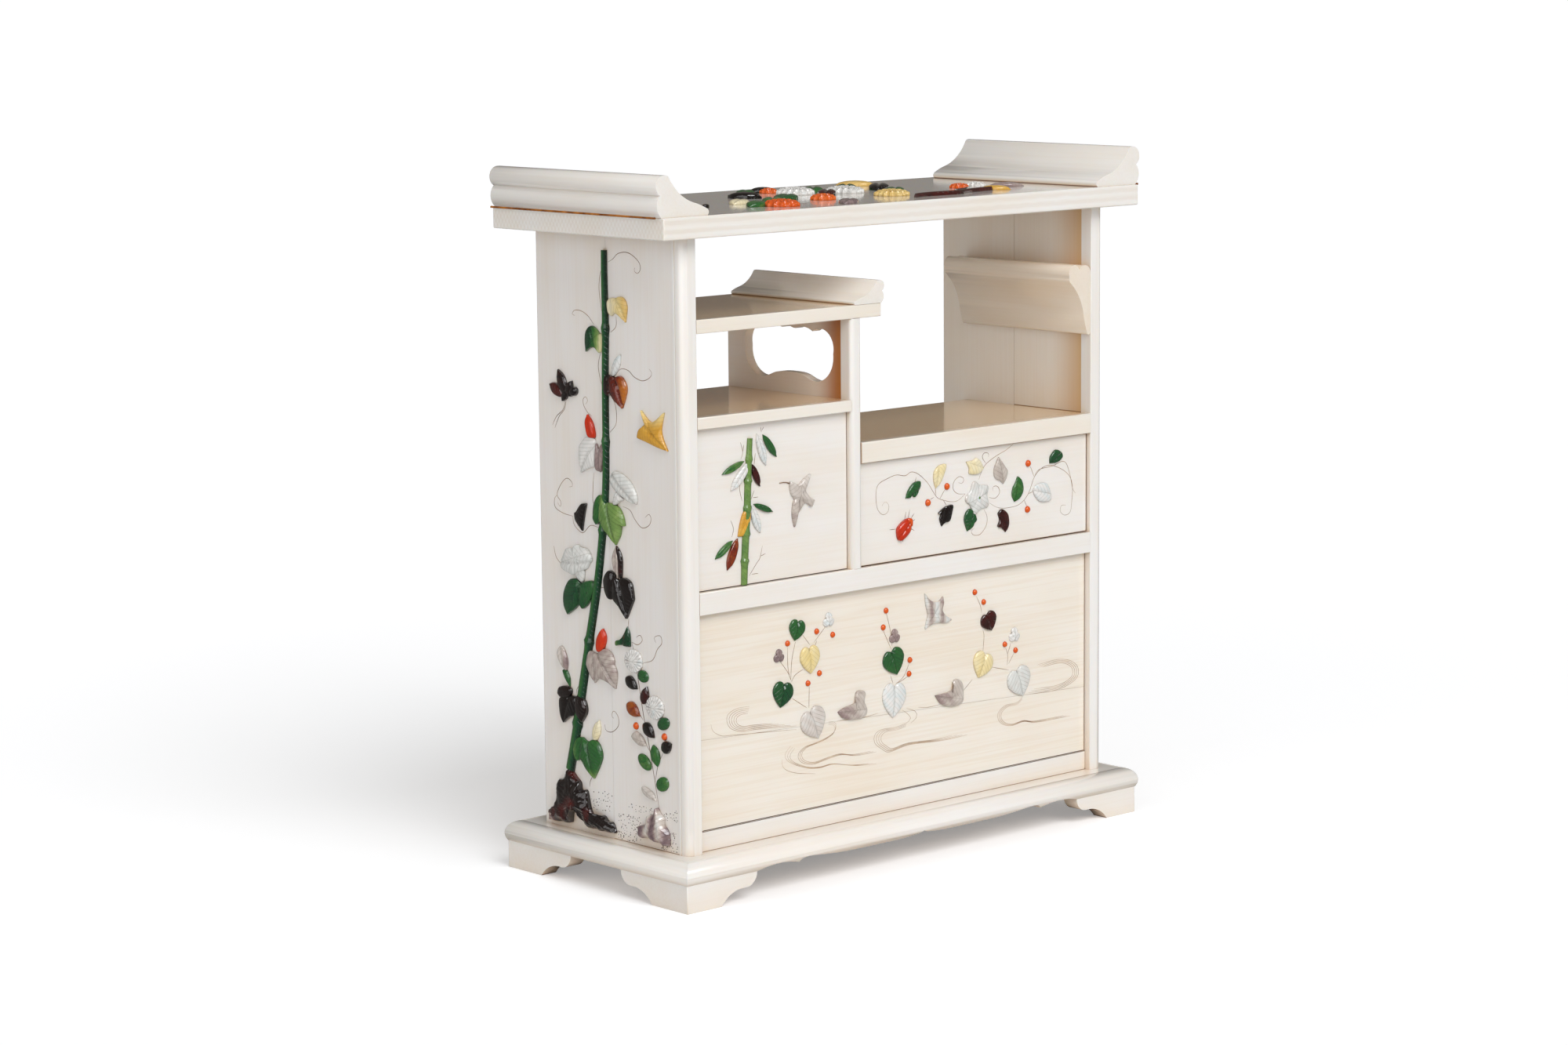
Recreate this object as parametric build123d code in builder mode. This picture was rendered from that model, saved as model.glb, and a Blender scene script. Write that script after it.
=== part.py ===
from build123d import *
from math import pi, sin
import os

# A tabletop display cabinet with staggered shelves, after the shelf chests that stand in a
# Japanese reception room: bracket feet, a moulded plinth, two drawers, a small door, open
# shelves and a top board with an ogee scroll moulding at each end. All sizes in millimetres.
# +X is the cabinet's right as seen from the front, the front faces -Y, +Z is up, and the
# origin is the middle of the footprint, on the floor.

# ---------------------------------------------------------------- driving dimensions
# Case
case_width = 231.7
case_depth = 87.2
side_thickness = 7.15
post_depth = 5.6              # front strip that edges each side
post_nose = 3.0               # rounding of the strip's outer arris
quirk_from_joint = 1.2        # fine groove that sets the strip off from the side
quirk_depth = 0.4
board_joint_from_front = 44.5  # each side is made of two boards

# Top board
top_thickness = 8.4
top_over_side = 14.15
top_over_front = 6.7
top_over_rear = 8.5
top_arris = 0.7

# Plinth and feet
foot_height = 10.9
plinth_thickness = 8.1
plinth_over_side = 10.85
plinth_over_front = 11.2
plinth_over_rear = 13.0
plinth_rail_width = 28.0
plinth_undercut = 1.0         # the nose stands this far outside the feet
foot_front_length = 35.8
foot_side_length = 39.3
foot_wall = 7.5
foot_lobe = 5.4               # quarter-round at the end of each foot arm
foot_step = 1.0
foot_hollow = 12.0            # run of the hollow from the lobe to the toe
scallop_height = 1.5
scallop_end_run = 22.0
scallop_long_run = 32.0
scallop_crest_run = 9.0       # from the long curve's crest to its cusp
apron_peak_height = 1.7
apron_peak_run = 13.0         # half width of the peak in the middle of the apron

# Heights of the front, from the bottom of the case upwards
bottom_rail_height = 8.0
large_opening_height = 85.0
mid_rail_height = 8.7
drawer_opening_height = 41.7
right_shelf_thickness = 8.3
cupboard_opening_height = 62.8
cupboard_shelf_thickness = 4.6
bay_height = 31.9
small_shelf_thickness = 5.3
top_bay_height = 31.4         # from the small shelf up to the top board

# Widths and depths inside the case
cupboard_width = 80.2
divider_thickness = 5.7
divider_post_depth = 6.0
window_panel_thickness = 4.2
shelf_inset = 14.7            # the shelves stop this far short of the sides' rear edges
small_shelf_past_divider = 10.5
rail_depth = 7.0
board_thickness = 5.0         # hidden floor boards
back_thickness = 3.0
back_below_shelf = 0.8        # the back stops this far under the shelf tops
bottom_rail_setback = 2.7
housing = 2.0                 # how far board ends are let into their neighbours
tongue_width = 3.0
tongue_height = 3.0
tongue_stop = 4.0             # side tongues end this far from the rear edge
arris = 0.4                   # softened edges

# Window in the divider
window_stile = 10.35          # from the shelves' front and rear edges to the window
window_bottom = 5.7           # above the foot of the window panel
window_height = 21.2
window_lobe = 9.7
window_cusp = 1.3             # how far the cusps hang from the head
window_hump = 2.8             # rise of the sill in the middle

# Door
door_thickness = 4.2
door_setback = 2.9
pin_radius = 0.9
pin_in_door = 5.0
pin_in_case = 2.8
pin_clearance = 0.06
pin_seat_clearance = 0.01

# Drawers
drawer_setback = 2.2
large_setback = 3.1
front_thickness = 5.0
drawer_side_thickness = 3.2
drawer_bottom_thickness = 2.4
front_rebate = 2.5            # how far the drawer sides are let into the front
drawer_side_drop = 4.0        # the drawer sides stop this far below the front's top
front_joint_left = 35.9       # height of the joint of the large front's two boards
front_joint_right = 27.5
running_gap = 0.3
drawer_rear_gap = 0.5

# Scroll mouldings: reach from the beads to the tip, height above the flat base
top_scroll_reach = 26.0
top_scroll_height = 15.8
top_scroll_overhang = 2.3
top_scroll_front_inset = 1.6
top_scroll_left_rear_inset = 1.4
top_scroll_right_rear_inset = 5.2
small_scroll_reach = 16.2
small_scroll_height = 9.0
small_scroll_overhang = 1.9
wall_scroll_reach = 29.4
wall_scroll_height = 12.7
wall_scroll_front_inset = 0.4
wall_scroll_rear_inset = 14.0
wall_scroll_under_top = 23.6

# Inlay, in low relief on the panels
leaf_rise = 1.2
flower_rise = 1.6
berry_radius = 1.3
berry_rise = 1.0
cane_radius = 1.9
cane_node_radius = 2.3
cane_node_length = 1.2

# ---------------------------------------------------------------- places worked out
case_height = (bottom_rail_height + large_opening_height + mid_rail_height + cupboard_opening_height
               + cupboard_shelf_thickness + bay_height + small_shelf_thickness + top_bay_height)
plinth_depth = case_depth + plinth_over_front + plinth_over_rear
plinth_width = case_width + 2 * plinth_over_side
front = -plinth_depth / 2 + plinth_over_front
rear = front + case_depth
case_side = case_width / 2
inner = case_side - side_thickness

plinth_z = foot_height
case_z = plinth_z + plinth_thickness
large_z = case_z + bottom_rail_height
mid_rail_z = large_z + large_opening_height
mid_z = mid_rail_z + mid_rail_height
right_shelf_z = mid_z + drawer_opening_height
right_shelf_top = right_shelf_z + right_shelf_thickness
cupboard_shelf_z = mid_z + cupboard_opening_height
cupboard_shelf_top = cupboard_shelf_z + cupboard_shelf_thickness
small_shelf_z = cupboard_shelf_top + bay_height
small_shelf_top = small_shelf_z + small_shelf_thickness
top_z = case_z + case_height
top_face = top_z + top_thickness

post_back = front + post_depth
board_joint = front + board_joint_from_front
shelf_rear = rear - shelf_inset
window_half_width = (shelf_rear - front) / 2 - window_stile
rail_back = front + rail_depth
divider_left = -inner + cupboard_width
divider_right = divider_left + divider_thickness
divider_post_back = front + divider_post_depth
small_shelf_end = divider_right + small_shelf_past_divider

os.makedirs("parts", exist_ok=True)


def save(piece, name):
    piece.label = name
    export_step(piece, f"parts/{name}.step")


def block(x0, x1, y0, y1, z0, z1, mode=Mode.ADD):
    """A board between two corners, as a rectangle drawn in plan and extruded upwards."""
    with BuildSketch(Plane.XY.offset(z0)) as plan:
        with Locations(((x0 + x1) / 2, (y0 + y1) / 2)):
            Rectangle(x1 - x0, y1 - y0)
    extrude(plan.sketch, amount=z1 - z0, mode=mode)


def side_plane(x):
    """The plane of a side face: its own x runs backwards and its own y upwards."""
    return Plane(origin=(x, 0, 0), x_dir=(0, 1, 0), z_dir=(1, 0, 0))


def front_plane(y, z=0):
    """The plane of a face that looks forwards: its x runs to the right and its y upwards."""
    return Plane(origin=(0, y, z), x_dir=(1, 0, 0), z_dir=(0, -1, 0))


# ---------------------------------------------------------------- bracket feet
def foot_arm(plane, length):
    """One arm of a foot seen square on: quarter-round lobe at its end, hollow down to the toe."""
    lobe_x = length - foot_lobe
    lobe_z = foot_height - foot_lobe
    toe = lobe_x - foot_step - foot_hollow
    with BuildSketch(plane) as arm:
        with BuildLine():
            Polyline((toe, 0), (0, 0), (0, foot_height), (length, foot_height))
            RadiusArc((length, foot_height), (lobe_x, lobe_z), foot_lobe)
            Line((lobe_x, lobe_z), (lobe_x - foot_step, lobe_z))
            ThreePointArc((lobe_x - foot_step, lobe_z), (toe + foot_hollow * 0.42, lobe_z * 0.76), (toe, 0))
        make_face()
    return arm.sketch


foot_x = plinth_width / 2 - plinth_undercut
foot_y = plinth_depth / 2 - plinth_undercut
for x_side, x_word in ((-1, "left"), (1, "right")):
    for y_side, y_word in ((-1, "front"), (1, "rear")):
        corner = Vector(x_side * foot_x, y_side * foot_y, 0)
        front_arm = Plane(origin=corner, x_dir=(-x_side, 0, 0), z_dir=(0, x_side, 0))
        side_arm = Plane(origin=corner, x_dir=(0, -y_side, 0), z_dir=(-y_side, 0, 0))
        with BuildPart() as foot:
            extrude(foot_arm(front_arm, foot_front_length), amount=foot_wall * -x_side * y_side)
            extrude(foot_arm(side_arm, foot_side_length), amount=foot_wall * x_side * y_side)
            fillet(foot.edges().filter_by(Axis.Z).sort_by_distance(corner)[0], radius=arris)
        save(foot.part, f"foot_{y_word}_{x_word}")


# ---------------------------------------------------------------- moulded plinth
def plinth_section(plane):
    """Section of a plinth rail, x inwards from the nose and y upwards from the underside."""
    nose_z = plinth_thickness * 0.42
    flat_x = plinth_thickness * 0.7
    with BuildSketch(plane) as section:
        with BuildLine():
            Polyline((plinth_undercut, 0), (plinth_rail_width, 0),
                     (plinth_rail_width, plinth_thickness), (flat_x, plinth_thickness))
            ThreePointArc((flat_x, plinth_thickness),
                          (plinth_thickness * 0.2, plinth_thickness * 0.84), (0, nose_z))
            ThreePointArc((0, nose_z), (plinth_undercut * 0.24, nose_z * 0.46), (plinth_undercut, 0))
        make_face()
    return section.sketch


def apron_scallops(plane):
    """The hollows cut in the apron's lower edge: a peak in the middle, then on each side a long
    rising curve to a cusp and a shorter hollow up to the foot."""
    inner_end = foot_x - foot_front_length
    cusp = inner_end - scallop_end_run
    rise = cusp - scallop_long_run
    with BuildSketch(plane) as scallops:
        for way in (-1, 1):
            with BuildLine():
                Spline((0, apron_peak_height), (way * apron_peak_run * 0.38, apron_peak_height * 0.32),
                       (way * apron_peak_run, 0), tangents=((way * 1.2, -1.0), (way * 1.0, 0)))
                Line((way * apron_peak_run, 0), (way * rise, 0))
                Spline((way * rise, 0), (way * (cusp - scallop_crest_run), scallop_height * 0.95),
                       (way * cusp, 0), tangents=((way * 1.0, 0), (way * 0.7, -1.0)))
                ThreePointArc((way * cusp, 0), (way * (cusp + inner_end) / 2, scallop_height),
                              (way * inner_end, 0))
                Polyline((way * inner_end, 0), (way * inner_end, -scallop_height), (0, -scallop_height),
                         (0, apron_peak_height))
            make_face()
    return scallops.sketch


def plinth_rail(half_length, distance, turn):
    """One rail of the plinth, mitred at both ends; distance is from the middle to its nose."""
    plane = Plane(origin=(0, 0, plinth_z)).rotated((0, 0, turn))
    start = plane.from_local_coords(Vector(-half_length, -distance, 0))
    section_plane = Plane(origin=start, x_dir=plane.y_dir, z_dir=plane.x_dir)
    extrude(plinth_section(section_plane), amount=2 * half_length)
    for end in (-1, 1):
        corner = plane.from_local_coords(Vector(end * half_length, -distance, 0))
        outward = plane.x_dir * end + plane.y_dir
        split(bisect_by=Plane(origin=corner, z_dir=outward), keep=Keep.BOTTOM)


def side_tongue(x_side, y0, y1, z0, z1, mode=Mode.ADD):
    """The tongue along the end of a side, or the groove that takes it."""
    middle = x_side * (case_side - side_thickness / 2)
    block(middle - tongue_width / 2, middle + tongue_width / 2, y0, y1, z0, z1, mode=mode)


# The lower tongues stop short of the plinth's mitres.
mitre_reach = plinth_over_side + side_thickness / 2 + tongue_width
foot_tongue_front = max(post_back, -plinth_depth / 2 + mitre_reach)
foot_tongue_rear = min(rear - tongue_stop, plinth_depth / 2 - mitre_reach)

for name, turn in (("plinth_front_rail", 0), ("plinth_right_rail", 90),
                   ("plinth_rear_rail", 180), ("plinth_left_rail", 270)):
    across = turn in (0, 180)
    half_length = (plinth_width if across else plinth_depth) / 2
    distance = (plinth_depth if across else plinth_width) / 2
    with BuildPart() as rail:
        plinth_rail(half_length, distance, turn)
        if name == "plinth_front_rail":
            extrude(apron_scallops(front_plane(-plinth_depth / 2, plinth_z)),
                    amount=-plinth_rail_width, mode=Mode.SUBTRACT)
        if name in ("plinth_left_rail", "plinth_right_rail"):
            x_side = -1 if name == "plinth_left_rail" else 1
            side_tongue(x_side, foot_tongue_front, foot_tongue_rear, case_z - tongue_height, case_z,
                        mode=Mode.SUBTRACT)
    save(rail.part, name)


# ---------------------------------------------------------------- sides and posts
def housing_cuts(x_side):
    """Slots in a side for the boards that are let into it, and the groove for the back."""
    floors = [(case_z + bottom_rail_height - board_thickness, board_thickness),
              (mid_z - board_thickness, board_thickness)]
    if x_side < 0:
        floors += [(cupboard_shelf_z, cupboard_shelf_thickness), (small_shelf_z, small_shelf_thickness)]
        back_top = cupboard_shelf_top - back_below_shelf
    else:
        floors += [(right_shelf_z, right_shelf_thickness)]
        back_top = right_shelf_top - back_below_shelf
    x0, x1 = sorted((x_side * inner, x_side * (inner + housing)))
    for z, thickness in floors:
        block(x0, x1, post_back, shelf_rear, z, z + thickness, mode=Mode.SUBTRACT)
    block(x0, x1, shelf_rear, shelf_rear + back_thickness, case_z, back_top, mode=Mode.SUBTRACT)


for x_side, x_word in ((-1, "left"), (1, "right")):
    x0, x1 = sorted((x_side * inner, x_side * case_side))
    for y0, y1, y_word in ((post_back, board_joint, "front"), (board_joint, rear, "rear")):
        with BuildPart() as board:
            block(x0, x1, y0, y1, case_z, top_z)
            if y_word == "rear":
                fillet(board.edges().filter_by(Axis.Z).group_by(Axis.Y)[-1], radius=arris * 2)
            side_tongue(x_side, max(y0, foot_tongue_front), min(y1, foot_tongue_rear),
                        case_z - tongue_height, case_z)
            side_tongue(x_side, y0, min(y1, rear - tongue_stop), top_z, top_z + tongue_height)
            housing_cuts(x_side)
        save(board.part, f"{x_word}_side_{y_word}_board")

    with BuildPart() as post:
        block(x0, x1, front, post_back, case_z, top_z)
        upright = post.edges().filter_by(Axis.Z)
        fillet(upright.sort_by_distance((x_side * case_side, front, 0))[0], radius=post_nose)
        upright = post.edges().filter_by(Axis.Z)
        fillet(upright.sort_by_distance((x_side * inner, front, 0))[0], radius=arris)
        with BuildSketch(Plane.XY.offset(case_z)):
            with Locations((x_side * case_side, post_back - quirk_from_joint)):
                RegularPolygon(radius=quirk_depth, side_count=4)
        extrude(amount=case_height, mode=Mode.SUBTRACT)
    save(post.part, f"{x_word}_post")


# ---------------------------------------------------------------- boards inside the case
def shelf_board(x0, x1, z, thickness, left_ear, right_ear, y_front=front, y_rear=shelf_rear):
    """A board across the case, with ears at its ends behind the posts that fit the housings."""
    with BuildSketch(Plane.XY.offset(z)) as plan:
        with Locations(((x0 + x1) / 2, (y_front + y_rear) / 2)):
            Rectangle(x1 - x0, y_rear - y_front)
        for ear, x, way in ((left_ear, x0, -1), (right_ear, x1, 1)):
            if ear:
                ear_front = max(y_front, post_back)
                with Locations((x + way * housing / 2, (ear_front + y_rear) / 2)):
                    Rectangle(housing, y_rear - ear_front)
    extrude(plan.sketch, amount=thickness)


with BuildPart() as bottom_board:
    shelf_board(-inner, inner, large_z - board_thickness, board_thickness, True, True,
                y_front=rail_back)
save(bottom_board.part, "bottom_board")

with BuildPart() as bottom_rail:
    block(-inner, inner, front + bottom_rail_setback, rail_back, case_z, large_z)
    chamfer(bottom_rail.edges().filter_by(Axis.X).group_by(Axis.Y)[0].sort_by(Axis.Z)[-1], length=arris)
save(bottom_rail.part, "bottom_rail")

hinge_x = -inner + running_gap + door_thickness / 2
hinge_y = front + door_setback + door_thickness / 2

with BuildPart() as mid_rail:
    block(-inner, inner, front, rail_back, mid_rail_z, mid_z)
    fillet(mid_rail.edges().filter_by(Axis.X).group_by(Axis.Y)[0], radius=arris)
    with Locations((hinge_x, hinge_y, mid_z)):
        Hole(radius=pin_radius + pin_seat_clearance, depth=pin_in_case)
save(mid_rail.part, "mid_rail")

with BuildPart() as mid_board:
    shelf_board(-inner, inner, mid_z - board_thickness, board_thickness, True, True, y_front=rail_back)
    block(divider_left, divider_right, rail_back, shelf_rear, mid_z - housing, mid_z, mode=Mode.SUBTRACT)
save(mid_board.part, "mid_board")

# The divider: a rounded strip at the front, a partition between cupboard and drawer, and a
# thinner panel above it with a cusped window.
with BuildPart() as divider_post:
    block(divider_left, divider_right, front, divider_post_back, mid_z, small_shelf_z)
    fillet(divider_post.edges().filter_by(Axis.Z).group_by(Axis.Y)[0], radius=divider_thickness * 0.3)
save(divider_post.part, "divider_post")

with BuildPart() as partition:
    block(divider_left, divider_right, divider_post_back, shelf_rear, mid_z, cupboard_shelf_top)
    block(divider_left, divider_right, rail_back, shelf_rear, mid_z - housing, mid_z)
    block(divider_left, divider_left + housing, divider_post_back, shelf_rear,
          cupboard_shelf_z, cupboard_shelf_top, mode=Mode.SUBTRACT)
    block(divider_right - housing, divider_right, divider_post_back, shelf_rear,
          right_shelf_z, right_shelf_top, mode=Mode.SUBTRACT)
save(partition.part, "partition")


def window_outline(plane, middle, foot):
    """The cusped window: round-bottomed lobes, a hump in the sill and a peaked head."""
    sill = foot + window_bottom
    head = sill + window_height
    lobe_x = window_half_width - window_lobe
    waist = sill + window_lobe * 1.2
    with BuildSketch(plane) as outline:
        for way in (-1, 1):
            def at(across, drop):
                return (middle + way * across * window_half_width, head - drop * window_cusp)

            with BuildLine():
                Spline(at(0, -0.4), at(0.06, 0.2), at(0.155, 0.55))
                ThreePointArc(at(0.155, 0.55), at(0.35, -0.1), at(0.54, 1.0))
                ThreePointArc(at(0.54, 1.0), at(0.83, 0.45), (middle + way * window_half_width, waist))
                ThreePointArc((middle + way * window_half_width, waist),
                              (middle + way * (lobe_x + window_lobe * 0.68), sill + window_lobe * 0.3),
                              (middle + way * lobe_x, sill))
                Spline((middle + way * lobe_x, sill), (middle + way * lobe_x * 0.5, sill + window_hump * 0.75),
                       (middle, sill + window_hump), tangents=((-way, 0), (-way, 0)))
                Line((middle, sill + window_hump), at(0, -0.4))
            make_face()
    return outline.sketch


with BuildPart() as window_panel:
    block(divider_left, divider_left + window_panel_thickness, divider_post_back, shelf_rear,
          cupboard_shelf_top, small_shelf_z)
    tongue_x = divider_left + window_panel_thickness / 2
    block(tongue_x - tongue_width / 2, tongue_x + tongue_width / 2, divider_post_back,
          shelf_rear - housing, small_shelf_z, small_shelf_z + housing)
    middle = (front + shelf_rear) / 2
    extrude(window_outline(side_plane(divider_left), middle, cupboard_shelf_top),
            amount=window_panel_thickness, mode=Mode.SUBTRACT)
save(window_panel.part, "window_panel")

with BuildPart() as cupboard_shelf:
    shelf_board(-inner, divider_left, cupboard_shelf_z, cupboard_shelf_thickness, True, False)
    block(divider_left, divider_left + housing, divider_post_back, shelf_rear,
          cupboard_shelf_z, cupboard_shelf_top)
    fillet(cupboard_shelf.edges().filter_by(Axis.X).group_by(Axis.Y)[0], radius=arris)
    with Locations(Location((hinge_x, hinge_y, cupboard_shelf_z), (180, 0, 0))):
        Hole(radius=pin_radius + pin_seat_clearance, depth=pin_in_case)
save(cupboard_shelf.part, "cupboard_shelf")

with BuildPart() as right_shelf:
    shelf_board(divider_right, inner, right_shelf_z, right_shelf_thickness, False, True)
    block(divider_right - housing, divider_right, divider_post_back, shelf_rear,
          right_shelf_z, right_shelf_top)
    fillet(right_shelf.edges().filter_by(Axis.X).group_by(Axis.Y)[0], radius=arris)
save(right_shelf.part, "right_shelf")

with BuildPart() as small_shelf:
    shelf_board(-inner, small_shelf_end, small_shelf_z, small_shelf_thickness, True, False)
    tongue_x = divider_left + window_panel_thickness / 2
    block(tongue_x - tongue_width / 2, tongue_x + tongue_width / 2, divider_post_back,
          shelf_rear - housing, small_shelf_z, small_shelf_z + housing, mode=Mode.SUBTRACT)
    fillet(small_shelf.edges().filter_by(Axis.X).group_by(Axis.Y)[0], radius=arris)
save(small_shelf.part, "small_shelf")

# The back stands in grooves behind the boards and is lower on the right, under the shelf.
with BuildPart() as back_board:
    with BuildSketch(front_plane(shelf_rear)):
        with BuildLine():
            Polyline((-inner - housing, case_z), (inner + housing, case_z),
                     (inner + housing, right_shelf_top - back_below_shelf),
                     (divider_right, right_shelf_top - back_below_shelf),
                     (divider_right, cupboard_shelf_top - back_below_shelf),
                     (-inner - housing, cupboard_shelf_top - back_below_shelf), close=True)
        make_face()
    extrude(amount=-back_thickness)
save(back_board.part, "back_board")

# ---------------------------------------------------------------- top board
with BuildPart() as top_board:
    block(-case_side - top_over_side, case_side + top_over_side, front - top_over_front,
          rear + top_over_rear, top_z, top_face)
    fillet(top_board.edges().filter_by(Axis.Z), radius=top_arris)
    chamfer(top_board.faces().filter_by(Axis.Z).edges(), length=top_arris * 0.5)
    for x_side in (-1, 1):
        side_tongue(x_side, post_back, rear - tongue_stop, top_z, top_z + tongue_height,
                    mode=Mode.SUBTRACT)
save(top_board.part, "top_board")


# ---------------------------------------------------------------- scroll mouldings
def scroll_section(plane, reach, height):
    """Section of a scroll moulding: two beads on its outer face, then an ogee that sweeps down
    to a thin rounded tip. x runs from the beads to the tip and y up from the flat base."""
    def at(x, y):
        return (x * reach, y * height)

    with BuildSketch(plane) as section:
        with BuildLine():
            ThreePointArc(at(0.100, 0), at(0.014, 0.29), at(0.077, 0.525))
            ThreePointArc(at(0.077, 0.525), at(0, 0.77), at(0.150, 1))
            Line(at(0.150, 1), at(0.190, 1))
            ThreePointArc(at(0.190, 1), at(0.226, 0.985), at(0.250, 0.94))
            ThreePointArc(at(0.250, 0.94), at(0.440, 0.56), at(0.735, 0.310))
            ThreePointArc(at(0.735, 0.310), at(0.862, 0.240), at(0.958, 0.165))
            ThreePointArc(at(0.958, 0.165), at(1.0, 0.085), at(0.975, 0))
            Line(at(0.975, 0), at(0.100, 0))
        make_face()
    return section.sketch


scroll_front = front - top_over_front + top_scroll_front_inset
bead_x = case_side + top_over_side + top_scroll_overhang
for x_side, x_word, rear_inset in ((-1, "left", top_scroll_left_rear_inset),
                                   (1, "right", top_scroll_right_rear_inset)):
    length = rear + top_over_rear - rear_inset - scroll_front
    start = scroll_front if x_side > 0 else scroll_front + length
    end_plane = Plane(origin=(x_side * bead_x, start, top_face), x_dir=(-x_side, 0, 0),
                      z_dir=(0, x_side, 0))
    with BuildPart() as top_scroll:
        extrude(scroll_section(end_plane, top_scroll_reach, top_scroll_height), amount=length)
    save(top_scroll.part, f"top_scroll_{x_word}")

small_scroll_plane = Plane(origin=(small_shelf_end + small_scroll_overhang, front, small_shelf_top),
                           x_dir=(-1, 0, 0), z_dir=(0, 1, 0))
with BuildPart() as small_scroll:
    extrude(scroll_section(small_scroll_plane, small_scroll_reach, small_scroll_height),
            amount=shelf_rear - front)
save(small_scroll.part, "small_scroll")

# The third scroll is glued to the right side, beads upwards and tip downwards.
wall_scroll_plane = Plane(origin=(inner, front + wall_scroll_front_inset, top_z - wall_scroll_under_top),
                          x_dir=(0, 0, -1), z_dir=(0, 1, 0))
with BuildPart() as wall_scroll:
    extrude(scroll_section(wall_scroll_plane, wall_scroll_reach, wall_scroll_height),
            amount=case_depth - wall_scroll_front_inset - wall_scroll_rear_inset)
save(wall_scroll.part, "wall_scroll")

# ---------------------------------------------------------------- door on pivot pins
door_front = front + door_setback
with BuildPart() as door:
    block(hinge_x, divider_left - running_gap, door_front, door_front + door_thickness,
          mid_z + running_gap, cupboard_shelf_z - running_gap)
    with BuildSketch(Plane.XY.offset(mid_z + running_gap)):
        with Locations((hinge_x, hinge_y)):
            Circle(door_thickness / 2)
    extrude(amount=cupboard_opening_height - 2 * running_gap)
    with BuildSketch(Plane.XY.offset(mid_z + running_gap)):
        with Locations((hinge_x, hinge_y)):
            Circle(pin_radius + pin_clearance)
    extrude(amount=pin_in_door, mode=Mode.SUBTRACT)
    with BuildSketch(Plane.XY.offset(cupboard_shelf_z - running_gap)):
        with Locations((hinge_x, hinge_y)):
            Circle(pin_radius + pin_clearance)
    extrude(amount=-pin_in_door, mode=Mode.SUBTRACT)
save(door.part, "door")

pin_reach = pin_in_door - running_gap
for name, z, way in (("door_pin_lower", mid_z, 1), ("door_pin_upper", cupboard_shelf_z, -1)):
    with BuildPart() as pin:
        with BuildSketch(Plane.XY.offset(z - way * pin_in_case)):
            with Locations((hinge_x, hinge_y)):
                Circle(pin_radius)
        extrude(amount=way * (pin_in_case + pin_reach))
    save(pin.part, name)


# ---------------------------------------------------------------- drawers
def drawer_box(prefix, x0, x1, y_front, z0, z1):
    """Sides, back and bottom of a drawer, let into rebates in the back of its front."""
    y0 = y_front + front_thickness - front_rebate
    y1 = shelf_rear - drawer_rear_gap
    floor = z0 + drawer_bottom_thickness
    side_top = z1 - drawer_side_drop
    for word, a, b in (("left", x0, x0 + drawer_side_thickness), ("right", x1 - drawer_side_thickness, x1)):
        with BuildPart() as side:
            block(a, b, y0, y1, floor, side_top)
        save(side.part, f"{prefix}_{word}_side")
    with BuildPart() as drawer_back:
        block(x0 + drawer_side_thickness, x1 - drawer_side_thickness, y1 - drawer_side_thickness, y1,
              floor, side_top)
    save(drawer_back.part, f"{prefix}_back")
    with BuildPart() as drawer_bottom:
        block(x0, x1, y0, y1, z0, floor)
    save(drawer_bottom.part, f"{prefix}_bottom")


def front_rebates(x0, x1, y_front, z0, z1):
    """Rebates in the back of a drawer front for its two sides and its bottom."""
    y0 = y_front + front_thickness - front_rebate
    y1 = y_front + front_thickness
    block(x0, x1, y0, y1, z0, z0 + drawer_bottom_thickness, mode=Mode.SUBTRACT)
    for a, b in ((x0, x0 + drawer_side_thickness), (x1 - drawer_side_thickness, x1)):
        block(a, b, y0, y1, z0, z1 - drawer_side_drop, mode=Mode.SUBTRACT)


small_x0, small_x1 = divider_right + running_gap, inner - running_gap
small_z0, small_z1 = mid_z + running_gap, right_shelf_z - running_gap
small_front = front + drawer_setback
with BuildPart() as drawer_front:
    block(small_x0, small_x1, small_front, small_front + front_thickness, small_z0, small_z1)
    chamfer(drawer_front.faces().sort_by(Axis.Y)[0].edges(), length=arris * 0.5)
    front_rebates(small_x0, small_x1, small_front, small_z0, small_z1)
save(drawer_front.part, "drawer_front")
drawer_box("drawer", small_x0, small_x1, small_front, small_z0, small_z1)

large_x0, large_x1 = -inner + running_gap, inner - running_gap
large_z0, large_z1 = large_z + running_gap, mid_rail_z - running_gap
large_front = front + large_setback
joint_points = ((large_x0, large_z + front_joint_left), (large_x1, large_z + front_joint_right))
for word, edge_z in (("lower", large_z0), ("upper", large_z1)):
    with BuildPart() as front_board:
        with BuildSketch(front_plane(large_front)):
            with BuildLine():
                Polyline(joint_points[0], joint_points[1], (large_x1, edge_z), (large_x0, edge_z), close=True)
            make_face()
        extrude(amount=-front_thickness)
        front_rebates(large_x0, large_x1, large_front, large_z0, large_z1)
    save(front_board.part, f"large_drawer_{word}_front")
drawer_box("large_drawer", large_x0, large_x1, large_front, large_z0, large_z1)


# ---------------------------------------------------------------- inlaid ornament
# Stained bone, horn, shell and coral, cut to outline and fixed on the panels. Sizes are real; the
# layout follows each panel: places run from -1 to 1 across it and from 0 to 1 up it.
def leaf(length, width):
    """A pointed leaf, its tip towards +x."""
    with BuildSketch() as outline:
        with BuildLine():
            ThreePointArc((-length / 2, 0), (-length * 0.08, width / 2), (length / 2, 0))
            ThreePointArc((length / 2, 0), (-length * 0.08, -width / 2), (-length / 2, 0))
        make_face()
    return outline.sketch


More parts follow.
